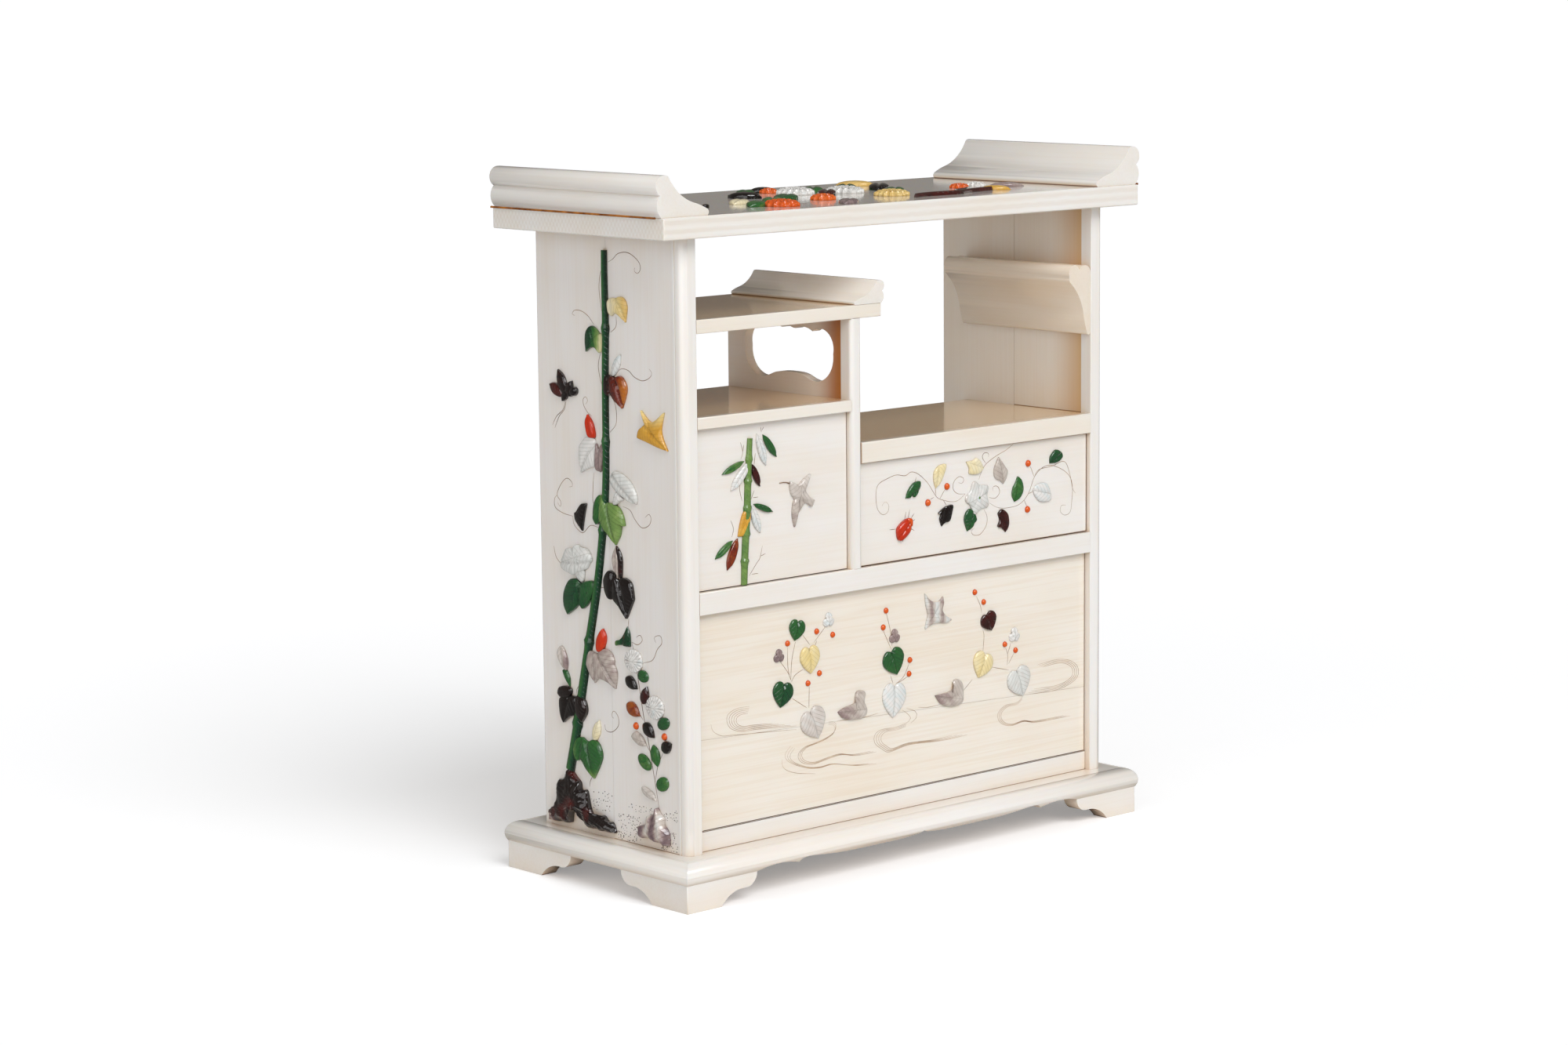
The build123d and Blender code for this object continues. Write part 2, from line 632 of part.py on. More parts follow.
def heart(length, width):
    """A heart-shaped leaf, its tip down and its stalk's notch up."""
    with BuildSketch() as outline:
        with BuildLine():
            for way in (-1, 1):
                shoulder = (way * width * 0.24, length * 0.5)
                ThreePointArc((0, -length * 0.5), (way * width * 0.49, length * 0.08), shoulder)
                Line(shoulder, (0, length * 0.36))
        make_face()
    return outline.sketch


def flower(radius, petals):
    """Round petals that overlap a little, about a heart."""
    petal_ring = radius / (1 + sin(pi / petals) * 1.15)
    with BuildSketch() as outline:
        Circle(petal_ring)
        with PolarLocations(petal_ring, petals, start_angle=90):
            Circle(radius - petal_ring)
    return outline.sketch


def bloom(radius, petals):
    """A full round flower head, notched between the tips of its petals."""
    edge = []
    for petal in range(petals):
        edge.append(Vector(radius, 0).rotate(Axis.Z, 360 * petal / petals))
        edge.append(Vector(radius * 0.9, 0).rotate(Axis.Z, 360 * (petal + 0.5) / petals))
    with BuildSketch() as outline:
        with BuildLine():
            Polyline(*edge, close=True)
        make_face()
    return outline.sketch


def duck(length):
    """A swimming duck, seen from its side and facing right."""
    def at(x, y):
        return (x * length, y * length)

    with BuildSketch() as outline:
        with BuildLine():
            ThreePointArc(at(-0.58, 0.2), at(-0.2, 0.07), at(0.12, 0.16))
            Line(at(0.12, 0.16), at(0.12, 0.3))
            ThreePointArc(at(0.12, 0.3), at(0.26, 0.44), at(0.4, 0.31))
            Polyline(at(0.4, 0.31), at(0.52, 0.25), at(0.4, 0.17))
            ThreePointArc(at(0.4, 0.17), at(0.42, -0.06), at(0.2, -0.22))
            Line(at(0.2, -0.22), at(-0.24, -0.22))
            ThreePointArc(at(-0.24, -0.22), at(-0.44, -0.08), at(-0.58, 0.2))
        make_face()
    return outline.sketch


def bird(span):
    """A flying bird: two swept wings, a tail and a beak."""
    with BuildSketch() as outline:
        with BuildLine():
            Polyline((-span * 0.5, span * 0.36), (-span * 0.12, span * 0.2), (span * 0.16, span * 0.46),
                     (span * 0.14, span * 0.1), (span * 0.5, -span * 0.14), (span * 0.08, -span * 0.16),
                     (-span * 0.3, -span * 0.46), (-span * 0.24, -span * 0.04), close=True)
        make_face()
    return outline.sketch


def rock(width, height):
    """A crag standing on its flat foot, stepped down to both sides."""
    with BuildSketch() as outline:
        with BuildLine():
            Polyline((-width * 0.5, 0), (-width * 0.42, height * 0.28), (-width * 0.36, height * 0.62),
                     (-width * 0.22, height), (-width * 0.04, height * 0.78), (width * 0.02, height * 0.66),
                     (width * 0.16, height * 0.26), (width * 0.3, height * 0.3), (width * 0.5, 0), close=True)
        make_face()
    return outline.sketch


def bamboo():
    """A straight cane on the door, thickened at its joints."""
    with BuildSketch() as outline:
        Rectangle(bamboo_width, bamboo_length)
        with GridLocations(0, bamboo_length / 5, 1, 4):
            Rectangle(bamboo_width + 1.0, 1.0)
    return outline.sketch


def berry():
    """A round berry."""
    with BuildSketch() as outline:
        Circle(berry_radius)
    return outline.sketch


def inlay(panel, half_width, height, pieces, rise):
    """Raises outlines on a panel; each piece is an outline, its place in shares, and its turn."""
    with BuildSketch(panel) as layout:
        for outline, across, up, turn in pieces:
            with Locations(Location((across * half_width, up * height, 0), (0, 0, turn))):
                add(outline)
    extrude(layout.sketch, amount=rise)


side_panel = Plane(origin=(-case_side, (front + rear) / 2, case_z), x_dir=(0, -1, 0), z_dir=(-1, 0, 0))
side_half = case_depth / 2
cane_points = [
    (-0.03, 0.96), (-0.03, 0.85), (-0.04, 0.69), (-0.06, 0.57),
    (-0.19, 0.42), (-0.36, 0.29), (-0.51, 0.17), (-0.61, 0.11)]
with BuildPart() as side_vine_inlay:
    inlay(side_panel, side_half, case_height, [
        (heart(11.0, 11.0), -0.19, 0.82, 12), (heart(18.0, 18.0), 0.01, 0.53, 15),
        (heart(14.0, 17.0), -0.46, 0.4, -10), (leaf(9.0, 6.0), 0.13, 0.347, 100),
        (heart(16.0, 17.0), -0.34, 0.13, 12), (leaf(6.0, 4.6), 0.49, 0.272, -8),
        (leaf(7.4, 5.0), 0.69, 0.21, 22), (leaf(8.4, 5.2), 0.43, 0.14, -32),
        (leaf(7.8, 5.6), 0.67, 0.11, 24),
    ], leaf_rise)
    with BuildLine(side_panel) as cane:
        Spline(*[(across * side_half, up * case_height) for across, up in cane_points])
    cane_nodes = [(0, cane_radius)] + [(share, cane_node_radius) for share in (0.14, 0.35, 0.52, 0.74, 0.91)]
    for share, radius in cane_nodes:
        along = cane.line % share
        across = side_panel.z_dir.cross(along)
        with BuildSketch(Plane(origin=cane.line @ share, x_dir=across, z_dir=along)) as half_round:
            Circle(radius)
            with Locations((0, -radius)):
                Rectangle(2 * radius, 2 * radius, mode=Mode.SUBTRACT)
        if share == 0:
            sweep(path=cane.line)
        else:
            extrude(amount=cane_node_length / 2, both=True)
save(side_vine_inlay.part, "side_vine_inlay")

with BuildPart() as side_dark_inlay:
    inlay(side_panel, side_half, case_height, [
        (heart(12.0, 12.0), 0.17, 0.74, 8), (bird(13.0), -0.63, 0.74, -20),
        (leaf(10.5, 7.5), -0.42, 0.53, 60), (heart(16.5, 16.0), 0.14, 0.41, 12),
        (heart(13.0, 10.0), -0.68, 0.21, -5), (leaf(7.8, 4.8), 0.26, 0.27, -30),
        (leaf(7.6, 4.6), 0.37, 0.25, 72), (leaf(8.6, 5.4), 0.27, 0.22, -28),
        (leaf(8.0, 5.0), 0.49, 0.19, -38), (leaf(6.4, 5.0), 0.73, 0.17, 30),
        (rock(38.0, 21.0), -0.47, 0.01, 0),
    ], leaf_rise)
save(side_dark_inlay.part, "side_dark_inlay")

with BuildPart() as side_shell_inlay:
    inlay(side_panel, side_half, case_height, [
        (heart(13.0, 11.5), -0.28, 0.63, 25), (heart(9.5, 14.0), 0.23, 0.6, 120),
        (heart(10.5, 17.5), -0.49, 0.46, 0), (heart(13.0, 14.0), -0.11, 0.28, 8),
        (bloom(5.3, 16), 0.3, 0.31, 0), (bloom(5.4, 16), 0.58, 0.24, 0),
        (leaf(8.6, 4.8), 0.28, 0.175, -18), (rock(17.0, 13.0), 0.55, 0.01, 0),
    ], leaf_rise)
save(side_shell_inlay.part, "side_shell_inlay")

with BuildPart() as side_coral_inlay:
    inlay(side_panel, side_half, case_height, [
        (leaf(8.8, 5.0), -0.25, 0.69, 110), (leaf(8.6, 5.0), -0.14, 0.34, 105), (berry(), 0.34, 0.2, 0),
        (berry(), 0.69, 0.19, 0),
    ], berry_rise)
save(side_coral_inlay.part, "side_coral_inlay")

with BuildPart() as side_horn_inlay:
    inlay(side_panel, side_half, case_height, [
        (bird(17.0), 0.6, 0.69, 0), (heart(10.5, 10.5), 0.15, 0.88, 25),
    ], leaf_rise)
save(side_horn_inlay.part, "side_horn_inlay")

door_left, door_right = hinge_x - door_thickness / 2, divider_left - running_gap
door_panel = front_plane(door_front, mid_z + running_gap).shift_origin(
    ((door_left + door_right) / 2, door_front, mid_z + running_gap))
door_half = (door_right - door_left) / 2
door_height = cupboard_opening_height - 2 * running_gap
bamboo_length = door_height * 0.9
bamboo_width = 3.3

with BuildPart() as door_bamboo_inlay:
    inlay(door_panel, door_half, door_height, [
        (bamboo(), -0.33, 0.46, -3.5), (leaf(11.5, 3.2), -0.06, 0.85, -52),
        (leaf(10.5, 2.8), -0.53, 0.74, 200), (leaf(10.0, 2.6), -0.13, 0.48, -18),
        (leaf(10.5, 3.0), -0.62, 0.23, 218),
    ], leaf_rise)
save(door_bamboo_inlay.part, "door_bamboo_inlay")

with BuildPart() as door_bird_inlay:
    inlay(door_panel, door_half, door_height, [
        (bird(17.0), 0.35, 0.49, 150), (leaf(11.0, 3.6), -0.15, 0.68, -66),
        (leaf(11.0, 3.6), -0.54, 0.6, 225), (leaf(10.0, 3.4), -0.18, 0.36, -62),
    ], leaf_rise)
save(door_bird_inlay.part, "door_bird_inlay")

drawer_panel = front_plane(small_front).shift_origin(((small_x0 + small_x1) / 2, small_front, small_z0))
drawer_half, drawer_height = (small_x1 - small_x0) / 2, small_z1 - small_z0

with BuildPart() as drawer_leaf_inlay:
    inlay(drawer_panel, drawer_half, drawer_height, [
        (leaf(9.5, 5.5), -0.55, 0.67, 216), (leaf(8.6, 5.6), -0.05, 0.25, 256),
        (leaf(10.8, 5.6), 0.37, 0.54, 80), (leaf(8.8, 5.6), 0.72, 0.8, 200),
    ], leaf_rise)
save(drawer_leaf_inlay.part, "drawer_leaf_inlay")

with BuildPart() as drawer_flower_inlay:
    inlay(drawer_panel, drawer_half, drawer_height, [
        (flower(6.2, 5), 0.01, 0.52, 0), (leaf(10.4, 6.0), -0.32, 0.77, 238),
        (leaf(11.6, 6.4), 0.21, 0.74, 104), (leaf(10.6, 6.8), 0.59, 0.46, 14),
    ], leaf_rise)
save(drawer_flower_inlay.part, "drawer_flower_inlay")

with BuildPart() as drawer_beetle_inlay:
    inlay(drawer_panel, drawer_half, drawer_height, [
        (leaf(10.0, 6.6), -0.63, 0.3, 40), (berry(), -0.26, 0.66, 0), (berry(), -0.42, 0.53, 0),
        (berry(), 0.48, 0.79, 0), (berry(), 0.46, 0.31, 0),
    ], berry_rise)
save(drawer_beetle_inlay.part, "drawer_beetle_inlay")

large_panel = front_plane(large_front).shift_origin(((large_x0 + large_x1) / 2, large_front, large_z0))
large_half, large_height = (large_x1 - large_x0) / 2, large_z1 - large_z0

with BuildPart() as large_drawer_leaf_inlay:
    inlay(large_panel, large_half, large_height, [
        (heart(8.6, 8.2), -0.51, 0.86, -14), (heart(10.4, 10.6), -0.58, 0.57, -12),
        (heart(10.6, 11.0), -0.04, 0.62, 16), (heart(8.2, 8.6), 0.47, 0.74, 22),
    ], leaf_rise)
save(large_drawer_leaf_inlay.part, "large_drawer_leaf_inlay")

with BuildPart() as large_drawer_shell_inlay:
    inlay(large_panel, large_half, large_height, [
        (heart(11.0, 10.2), -0.46, 0.71, 4), (heart(12.6, 13.4), -0.45, 0.4, 12),
        (heart(13.8, 13.6), -0.03, 0.44, -6), (heart(10.4, 11.0), 0.44, 0.53, -20),
        (heart(12.6, 13.0), 0.63, 0.41, 18), 
        
        (duck(15.0), -0.24, 0.42, 0), (duck(15.0), 0.26, 0.39, 0), (bird(16.0), 0.18, 0.83, 0),
    ], leaf_rise)
save(large_drawer_shell_inlay.part, "large_drawer_shell_inlay")

with BuildPart() as large_drawer_berry_inlay:
    inlay(large_panel, large_half, large_height, [
        (berry(), -0.56, 0.8, 0), (berry(), -0.42, 0.83, 0), (berry(), -0.32, 0.81, 0),
        (berry(), -0.38, 0.63, 0), (berry(), -0.49, 0.6, 0), (berry(), -0.07, 0.88, 0),
        (berry(), -0.09, 0.8, 0), (berry(), 0.06, 0.62, 0), (berry(), 0.06, 0.55, 0),
        (berry(), 0.4, 0.89, 0), (berry(), 0.44, 0.84, 0), (berry(), 0.56, 0.6, 0),
        (berry(), 0.62, 0.57, 0),
    ], berry_rise)
save(large_drawer_berry_inlay.part, "large_drawer_berry_inlay")

top_panel = Plane.XY.offset(top_face).shift_origin((0, front - top_over_front, top_face))
top_half, top_depth = case_side + top_over_side, case_depth + top_over_front + top_over_rear

with BuildPart() as top_leaf_inlay:
    inlay(top_panel, top_half, top_depth, [
        (leaf(14.0, 8.0), -0.27, 0.59, 118), (leaf(14.0, 7.0), -0.46, 0.39, 25),
        (leaf(14.0, 8.0), -0.51, 0.24, 25), (leaf(15.0, 9.0), -0.25, 0.42, 28),
        (leaf(13.0, 8.0), 0.03, 0.74, 50), (leaf(13.0, 8.0), 0.28, 0.53, 42),
        (leaf(14.0, 8.0), 0.34, 0.81, 120), (leaf(24.0, 3.0), 0.26, 0.15, 4),
    ], flower_rise)
save(top_leaf_inlay.part, "top_leaf_inlay")

with BuildPart() as top_flower_inlay:
    inlay(top_panel, top_half, top_depth, [
        (bloom(8.0, 16), -0.05, 0.58, 0), (bloom(8.0, 16), 0.13, 0.54, 0),
        (bloom(7.4, 16), 0.12, 0.29, 0), (bloom(5.6, 12), -0.16, 0.3, 0),
        (bloom(7.0, 14), -0.38, 0.16, 0), (bloom(4.4, 12), 0.59, 0.42, 0),
        (bloom(4.0, 12), 0.5, 0.36, 0),
    ], flower_rise)
save(top_flower_inlay.part, "top_flower_inlay")
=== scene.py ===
import math
import random

import bmesh
import bpy
from mathutils import Matrix, Vector, geometry, noise


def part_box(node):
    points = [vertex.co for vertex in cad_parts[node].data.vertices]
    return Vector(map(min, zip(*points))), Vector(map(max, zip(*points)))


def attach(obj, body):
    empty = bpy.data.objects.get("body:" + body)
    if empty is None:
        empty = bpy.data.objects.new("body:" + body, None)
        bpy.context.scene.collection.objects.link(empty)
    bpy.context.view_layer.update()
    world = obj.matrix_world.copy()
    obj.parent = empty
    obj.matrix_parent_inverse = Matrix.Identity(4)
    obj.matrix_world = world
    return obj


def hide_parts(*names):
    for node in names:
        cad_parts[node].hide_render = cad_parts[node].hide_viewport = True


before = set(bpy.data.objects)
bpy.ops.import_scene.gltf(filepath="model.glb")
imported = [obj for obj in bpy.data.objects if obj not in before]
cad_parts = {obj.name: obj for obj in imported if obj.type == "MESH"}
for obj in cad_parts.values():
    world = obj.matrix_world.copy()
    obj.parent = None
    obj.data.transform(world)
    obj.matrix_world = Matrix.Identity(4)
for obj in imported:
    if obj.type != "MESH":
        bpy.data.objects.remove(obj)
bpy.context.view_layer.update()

# A miniature ivory display cabinet with inlaid panels. The cabinet itself comes from model.glb;
# this script finishes its surfaces and adds the carved inlay and the engraved lines. Places on a
# panel are in millimetres: to the right and up as one faces the panel, and out of its face.
MM = 0.001
SINK = 0.35                   # how deep an inlaid piece is let into its panel
PROUD = 1.35                  # how much the carving is raised over the heights noted with it
CUT = 1.5                     # how much deeper creases are cut than the depths noted with them


# ---------------------------------------------------------------- materials
def linear(hex_colour):
    """An sRGB hex colour as linear RGBA."""
    values = [int(hex_colour[i:i + 2], 16) / 255 for i in (1, 3, 5)]
    return tuple(v / 12.92 if v <= 0.04045 else ((v + 0.055) / 1.055) ** 2.4 for v in values) + (1.0,)


def add(tree, kind, inputs=None, stops=None, **settings):
    """Adds a node, applies its settings, and fills its sockets with values or other outputs."""
    new = tree.nodes.new("ShaderNode" + kind)
    for key, value in settings.items():
        setattr(new, key, value)
    for socket, value in (inputs or {}).items():
        if isinstance(value, bpy.types.NodeSocket):
            tree.links.new(value, new.inputs[socket])
        else:
            new.inputs[socket].default_value = value
    if stops:
        while len(new.color_ramp.elements) < len(stops):
            new.color_ramp.elements.new(0.5)
        for element, (place, colour) in zip(new.color_ramp.elements, stops):
            element.position = place
            element.color = linear(colour) if isinstance(colour, str) else (colour, colour, colour, 1.0)
    return new


def new_material(name, **surface):
    """A material with a Principled surface whose plain values are set on its own sockets."""
    material = bpy.data.materials.new(name)
    material.use_nodes = True
    tree = material.node_tree
    shader = tree.nodes["Principled BSDF"]
    for socket, value in surface.items():
        shader.inputs[socket.replace("_", " ")].default_value = value
    return material, tree, shader


def polished_ivory(name, tone, along, grain=0.12, patina_and_shade=0.6, hatched=False, painted_shade_band=None):
    """Old tusk ivory, sawn, scraped and wax-polished: cream with faint streaks along the board, soft clouds,
    honey-brown where polishing cloths don't reach, which is also painted shade in sheltered places, and a
    deep shine at low angles."""
    material, tree, shader = new_material(
        name, Roughness=0.16, IOR=1.54, Coat_Weight=0.75, Coat_Roughness=0.10, Coat_IOR=1.5,
        Subsurface_Weight=0.12, Subsurface_Radius=(1.0, 0.55, 0.28), Subsurface_Scale=0.003)
    place = add(tree, "TexCoord").outputs["Object"]
    streak_scale = [1 / (1.1 * MM)] * 3              # growth lines about 1.1 mm apart
    streak_scale["XYZ".index(along)] = 1 / (55 * MM)
    streak_place = add(tree, "Mapping", {"Vector": place, "Scale": streak_scale}).outputs["Vector"]
    streaks = add(tree, "TexNoise", {"Vector": streak_place, "Scale": 1.0, "Detail": 3.0,
                                     "Distortion": 0.4}).outputs["Fac"]
    cloud_scale = [1 / (16 * MM)] * 3
    cloud_scale["XYZ".index(along)] = 1 / (60 * MM)
    cloud_place = add(tree, "Mapping", {"Vector": place, "Scale": cloud_scale}).outputs["Vector"]
    clouds = add(tree, "TexNoise", {"Vector": cloud_place, "Scale": 1.0, "Detail": 2.0}).outputs["Fac"]
    streak_tint = add(tree, "ValToRGB", {"Fac": streaks},
                      stops=((0.36, "#F3E8DA"), (0.55, "#FFFFFF"))).outputs["Color"]
    cloud_tint = add(tree, "ValToRGB", {"Fac": clouds},
                     stops=((0.32, "#FBF5EC"), (0.62, "#FFFFFF"))).outputs["Color"]
    colour = add(tree, "MixRGB", {"Fac": grain, "Color1": linear(tone), "Color2": streak_tint},
                 blend_type="MULTIPLY").outputs["Color"]
    colour = add(tree, "MixRGB", {"Fac": 0.5, "Color1": colour, "Color2": cloud_tint},
                 blend_type="MULTIPLY").outputs["Color"]
    if hatched:
        # The crossed lines of tusk end grain, about 0.6 mm apart, drawn at 0.9 mm so that they show.
        for slant in (58, -58):
            turned = add(tree, "Mapping", {"Vector": place, "Rotation": (math.radians(slant), 0, 0)})
            lines = add(tree, "TexWave", {"Vector": turned.outputs["Vector"], "Scale": 1 / (0.9 * MM) / 6.283,
                                          "Distortion": 1.2, "Detail": 1.0}, bands_direction="Z")
            shade = add(tree, "ValToRGB", {"Fac": lines.outputs["Fac"]},
                        stops=((0.25, "#E4D6C6"), (0.7, "#FFFFFF"))).outputs["Color"]
            colour = add(tree, "MixRGB", {"Fac": 0.13, "Color1": colour, "Color2": shade},
                         blend_type="MULTIPLY").outputs["Color"]
    if painted_shade_band:
        # Painted shade: the ivory turns gradually to a warm tan between two places across the piece, standing
        # in for the warm shade inside the cabinet.
        start, end, tan = painted_shade_band
        depth = add(tree, "SeparateXYZ", {"Vector": place}).outputs["Y"]
        share = add(tree, "MapRange", {"Value": depth, "From Min": start * MM, "From Max": end * MM},
                    interpolation_type="SMOOTHSTEP").outputs["Result"]
        stain = add(tree, "MixRGB", {"Fac": share, "Color1": (1, 1, 1, 1), "Color2": linear(tan)})
        colour = add(tree, "MixRGB", {"Fac": 1.0, "Color1": colour, "Color2": stain.outputs["Color"]},
                     blend_type="MULTIPLY").outputs["Color"]
    # Patina and painted shade: honey-coloured in sheltered places, for both old patina and the shade there;
    # darker brown in the joints themselves.
    shelter_shade = add(tree, "AmbientOcclusion", {"Distance": 30 * MM}, samples=8).outputs["AO"]
    honey_and_shade = add(tree, "ValToRGB", {"Fac": shelter_shade},
                stops=((0.05, "#E0AE74"), (0.35, "#F6DFC2"), (0.66, "#FFFFFF"))).outputs["Color"]
    colour = add(tree, "MixRGB", {"Fac": patina_and_shade, "Color1": colour, "Color2": honey_and_shade},
                 blend_type="MULTIPLY").outputs["Color"]
    joint = add(tree, "AmbientOcclusion", {"Distance": 1.2 * MM}, samples=8).outputs["AO"]
    brown = add(tree, "ValToRGB", {"Fac": joint},
                stops=((0.10, "#A77B50"), (0.45, "#FFFFFF"))).outputs["Color"]
    colour = add(tree, "MixRGB", {"Fac": 0.8, "Color1": colour, "Color2": brown},
                 blend_type="MULTIPLY").outputs["Color"]
    tree.links.new(colour, shader.inputs["Base Color"])
    ripple = add(tree, "Bump", {"Height": streaks, "Strength": 0.12, "Distance": 0.05 * MM})
    tree.links.new(ripple.outputs["Normal"], shader.inputs["Normal"])
    return material


def planed_paulownia():
    """Pale paulownia, planed and left bare: straight brown growth lines on a dull straw ground."""
    material, tree, shader = new_material("planed_paulownia", Roughness=0.62, IOR=1.45)
    place = add(tree, "TexCoord").outputs["Object"]
    run = add(tree, "Mapping", {"Vector": place, "Scale": (1 / (120 * MM), 1 / (40 * MM), 1 / (4.2 * MM))})
    rings = add(tree, "TexNoise", {"Vector": run.outputs["Vector"], "Scale": 1.0, "Detail": 4.0,
                                   "Distortion": 0.6}).outputs["Fac"]
    ground = add(tree, "ValToRGB", {"Fac": rings}, stops=((0.36, "#A9855A"), (0.5, "#CDAE82"),
        (0.66, "#DCC39B")))
    pores = add(tree, "Mapping", {"Vector": place, "Scale": (1 / (9 * MM), 1 / (9 * MM), 1 / (0.35 * MM))})
    fibre = add(tree, "TexNoise", {"Vector": pores.outputs["Vector"], "Scale": 1.0,
        "Detail": 2.0}).outputs["Fac"]
    fibre_tint = add(tree, "ValToRGB", {"Fac": fibre}, stops=((0.34, "#C9B08C"), (0.52, "#FFFFFF")))
    colour = add(tree, "MixRGB", {"Fac": 0.5, "Color1": ground.outputs["Color"],
                                  "Color2": fibre_tint.outputs["Color"]}, blend_type="MULTIPLY")
    tree.links.new(colour.outputs["Color"], shader.inputs["Base Color"])
    bump = add(tree, "Bump", {"Height": fibre, "Strength": 0.25, "Distance": 0.1 * MM})
    tree.links.new(bump.outputs["Normal"], shader.inputs["Normal"])
    return material


def drawn_brass():
    """Drawn brass wire, turned to length: warm yellow metal with fine rings and a dull film."""
    material, tree, shader = new_material("drawn_brass", Metallic=1.0, Roughness=0.32)
    place = add(tree, "TexCoord").outputs["Object"]
    film = add(tree, "TexNoise", {"Vector": place, "Scale": 1 / (1.5 * MM), "Detail": 3.0}).outputs["Fac"]
    colour = add(tree, "ValToRGB", {"Fac": film}, stops=((0.35, "#A8813A"), (0.65, "#D9B565")))
    tree.links.new(colour.outputs["Color"], shader.inputs["Base Color"])
    return material


def inlay_material(name, stops, vein_depth=0.0, mottle=0.25, mottle_size=3.0, bands=0.0, **surface):
    """A carved and polished inlay. Its colour runs along stops by the piece's own shade, stirred by
    a mottle; vein_depth cuts leaf veins across the piece, and bands adds the layers of shell."""
    material, tree, shader = new_material(name, **surface)
    coordinates = add(tree, "TexCoord")
    place = coordinates.outputs["Object"]
    shade = add(tree, "Attribute", attribute_name="shade").outputs["Fac"]
    cloud = add(tree, "TexNoise", {"Vector": place, "Scale": 1 / (mottle_size * MM), "Detail": 3.0,
                                   "Distortion": 0.8}).outputs["Fac"]
    stirred = add(tree, "Math", {0: cloud, 1: 0.5}, operation="SUBTRACT").outputs["Value"]
    level = add(tree, "Math", {0: stirred, 1: mottle * 2, 2: shade},
        operation="MULTIPLY_ADD").outputs["Value"]
    if bands:
        # Growth layers of the shell, about 1.3 mm apart and wandering.
        layers = add(tree, "TexWave", {"Vector": place, "Scale": 1 / (1.3 * MM) / 6.283, "Distortion": 9.0,
                                       "Detail": 2.0, "Detail Scale": 0.4}, bands_direction="DIAGONAL")
        centred = add(tree, "Math", {0: layers.outputs["Fac"], 1: 0.5}, operation="SUBTRACT").outputs["Value"]
        level = add(tree, "Math", {0: centred, 1: bands, 2: level}, operation="MULTIPLY_ADD").outputs["Value"]
    colour = add(tree, "ValToRGB", {"Fac": level}, stops=stops).outputs["Color"]
    if vein_depth:
        # Veins cut with a graver: a midrib and side veins about 2 mm apart that slope to the tip.
        leaf = add(tree, "SeparateXYZ", {"Vector": coordinates.outputs["UV"]})
        across = add(tree, "Math", {0: leaf.outputs["Y"]}, operation="ABSOLUTE").outputs["Value"]
        slope = add(tree, "Math", {0: across, 1: -0.9, 2: leaf.outputs["X"]},
                    operation="MULTIPLY_ADD").outputs["Value"]
        side = add(tree, "Math", {0: slope, 1: 1.0}, operation="PINGPONG").outputs["Value"]
        nearest = add(tree, "Math", {0: side, 1: across}, operation="MINIMUM").outputs["Value"]
        groove = add(tree, "MapRange", {"Value": nearest, "From Max": 0.16}).outputs["Result"]
        cut = add(tree, "MixRGB", {"Fac": groove, "Color1": (0.62, 0.6, 0.55, 1), "Color2": (1, 1, 1, 1)})
        colour = add(tree, "MixRGB", {"Fac": 0.7, "Color1": colour, "Color2": cut.outputs["Color"]},
                     blend_type="MULTIPLY").outputs["Color"]
        bump = add(tree, "Bump", {"Height": groove, "Strength": 0.8, "Distance": vein_depth * MM})
        tree.links.new(bump.outputs["Normal"], shader.inputs["Normal"])
    # Painted shade in the carved hollows, darkening them so that the relief reads.
    hollow_shade = add(tree, "AmbientOcclusion", {"Distance": 1.0 * MM}, samples=8).outputs["AO"]
    painted_hollow_shade = add(tree, "ValToRGB", {"Fac": hollow_shade},
        stops=((0.3, "#75695E"), (0.85, "#FFFFFF"))).outputs["Color"]
    colour = add(tree, "MixRGB", {"Fac": 0.75, "Color1": colour, "Color2": painted_hollow_shade},
        blend_type="MULTIPLY").outputs["Color"]
    tree.links.new(colour, shader.inputs["Base Color"])
    return material


def engraved_stain():
    """Graver lines rubbed with brown ink: matt, and paler where the ink has worn out of them."""
    material, tree, shader = new_material("engraved_stain", Roughness=0.7, IOR=1.4)
    place = add(tree, "TexCoord").outputs["Object"]
    shade = add(tree, "Attribute", attribute_name="shade").outputs["Fac"]
    wear = add(tree, "TexNoise", {"Vector": place, "Scale": 1 / (6 * MM), "Detail": 2.0}).outputs["Fac"]
    stirred = add(tree, "Math", {0: wear, 1: 0.5}, operation="SUBTRACT").outputs["Value"]
    level = add(tree, "Math", {0: stirred, 1: 0.8, 2: shade}, operation="MULTIPLY_ADD").outputs["Value"]
    colour = add(tree, "ValToRGB", {"Fac": level},
                 stops=((0.0, "#2B1F18"), (0.35, "#7A5D45"), (0.7, "#BFA386"), (1.0, "#DCCBB6")))
    tree.links.new(colour.outputs["Color"], shader.inputs["Base Color"])
    return material


ivory_rail = polished_ivory("polished_ivory_rail", "#F1EDE8", "X")
ivory_front = polished_ivory("polished_ivory_front", "#F1ECE6", "X")
ivory_cream = polished_ivory("creamy_polished_ivory", "#F2EADE", "X", grain=0.3)
ivory_side = polished_ivory("polished_ivory_side", "#EFEAE5", "Z")
# Painted shade: the wall and the divider turn tan towards their front ends.
ivory_wall = polished_ivory("ivory_wall_painted_shade", "#F3ECE2", "Z", patina_and_shade=0.35, painted_shade_band=(-20, -42, "#E0BE92"))
ivory_window = polished_ivory("ivory_divider_painted_shade", "#F5EFE7", "Y", patina_and_shade=0.25,
    painted_shade_band=(-22, -38, "#BD7A3A"))
# The wall scroll is a darker, warmer cream than the wall beside it.
ivory_wall_scroll = polished_ivory("warm_cream_ivory_scroll", "#EDE1D1", "Y", patina_and_shade=0.6)
ivory_post = polished_ivory("polished_ivory_post", "#F2EFEB", "Z")
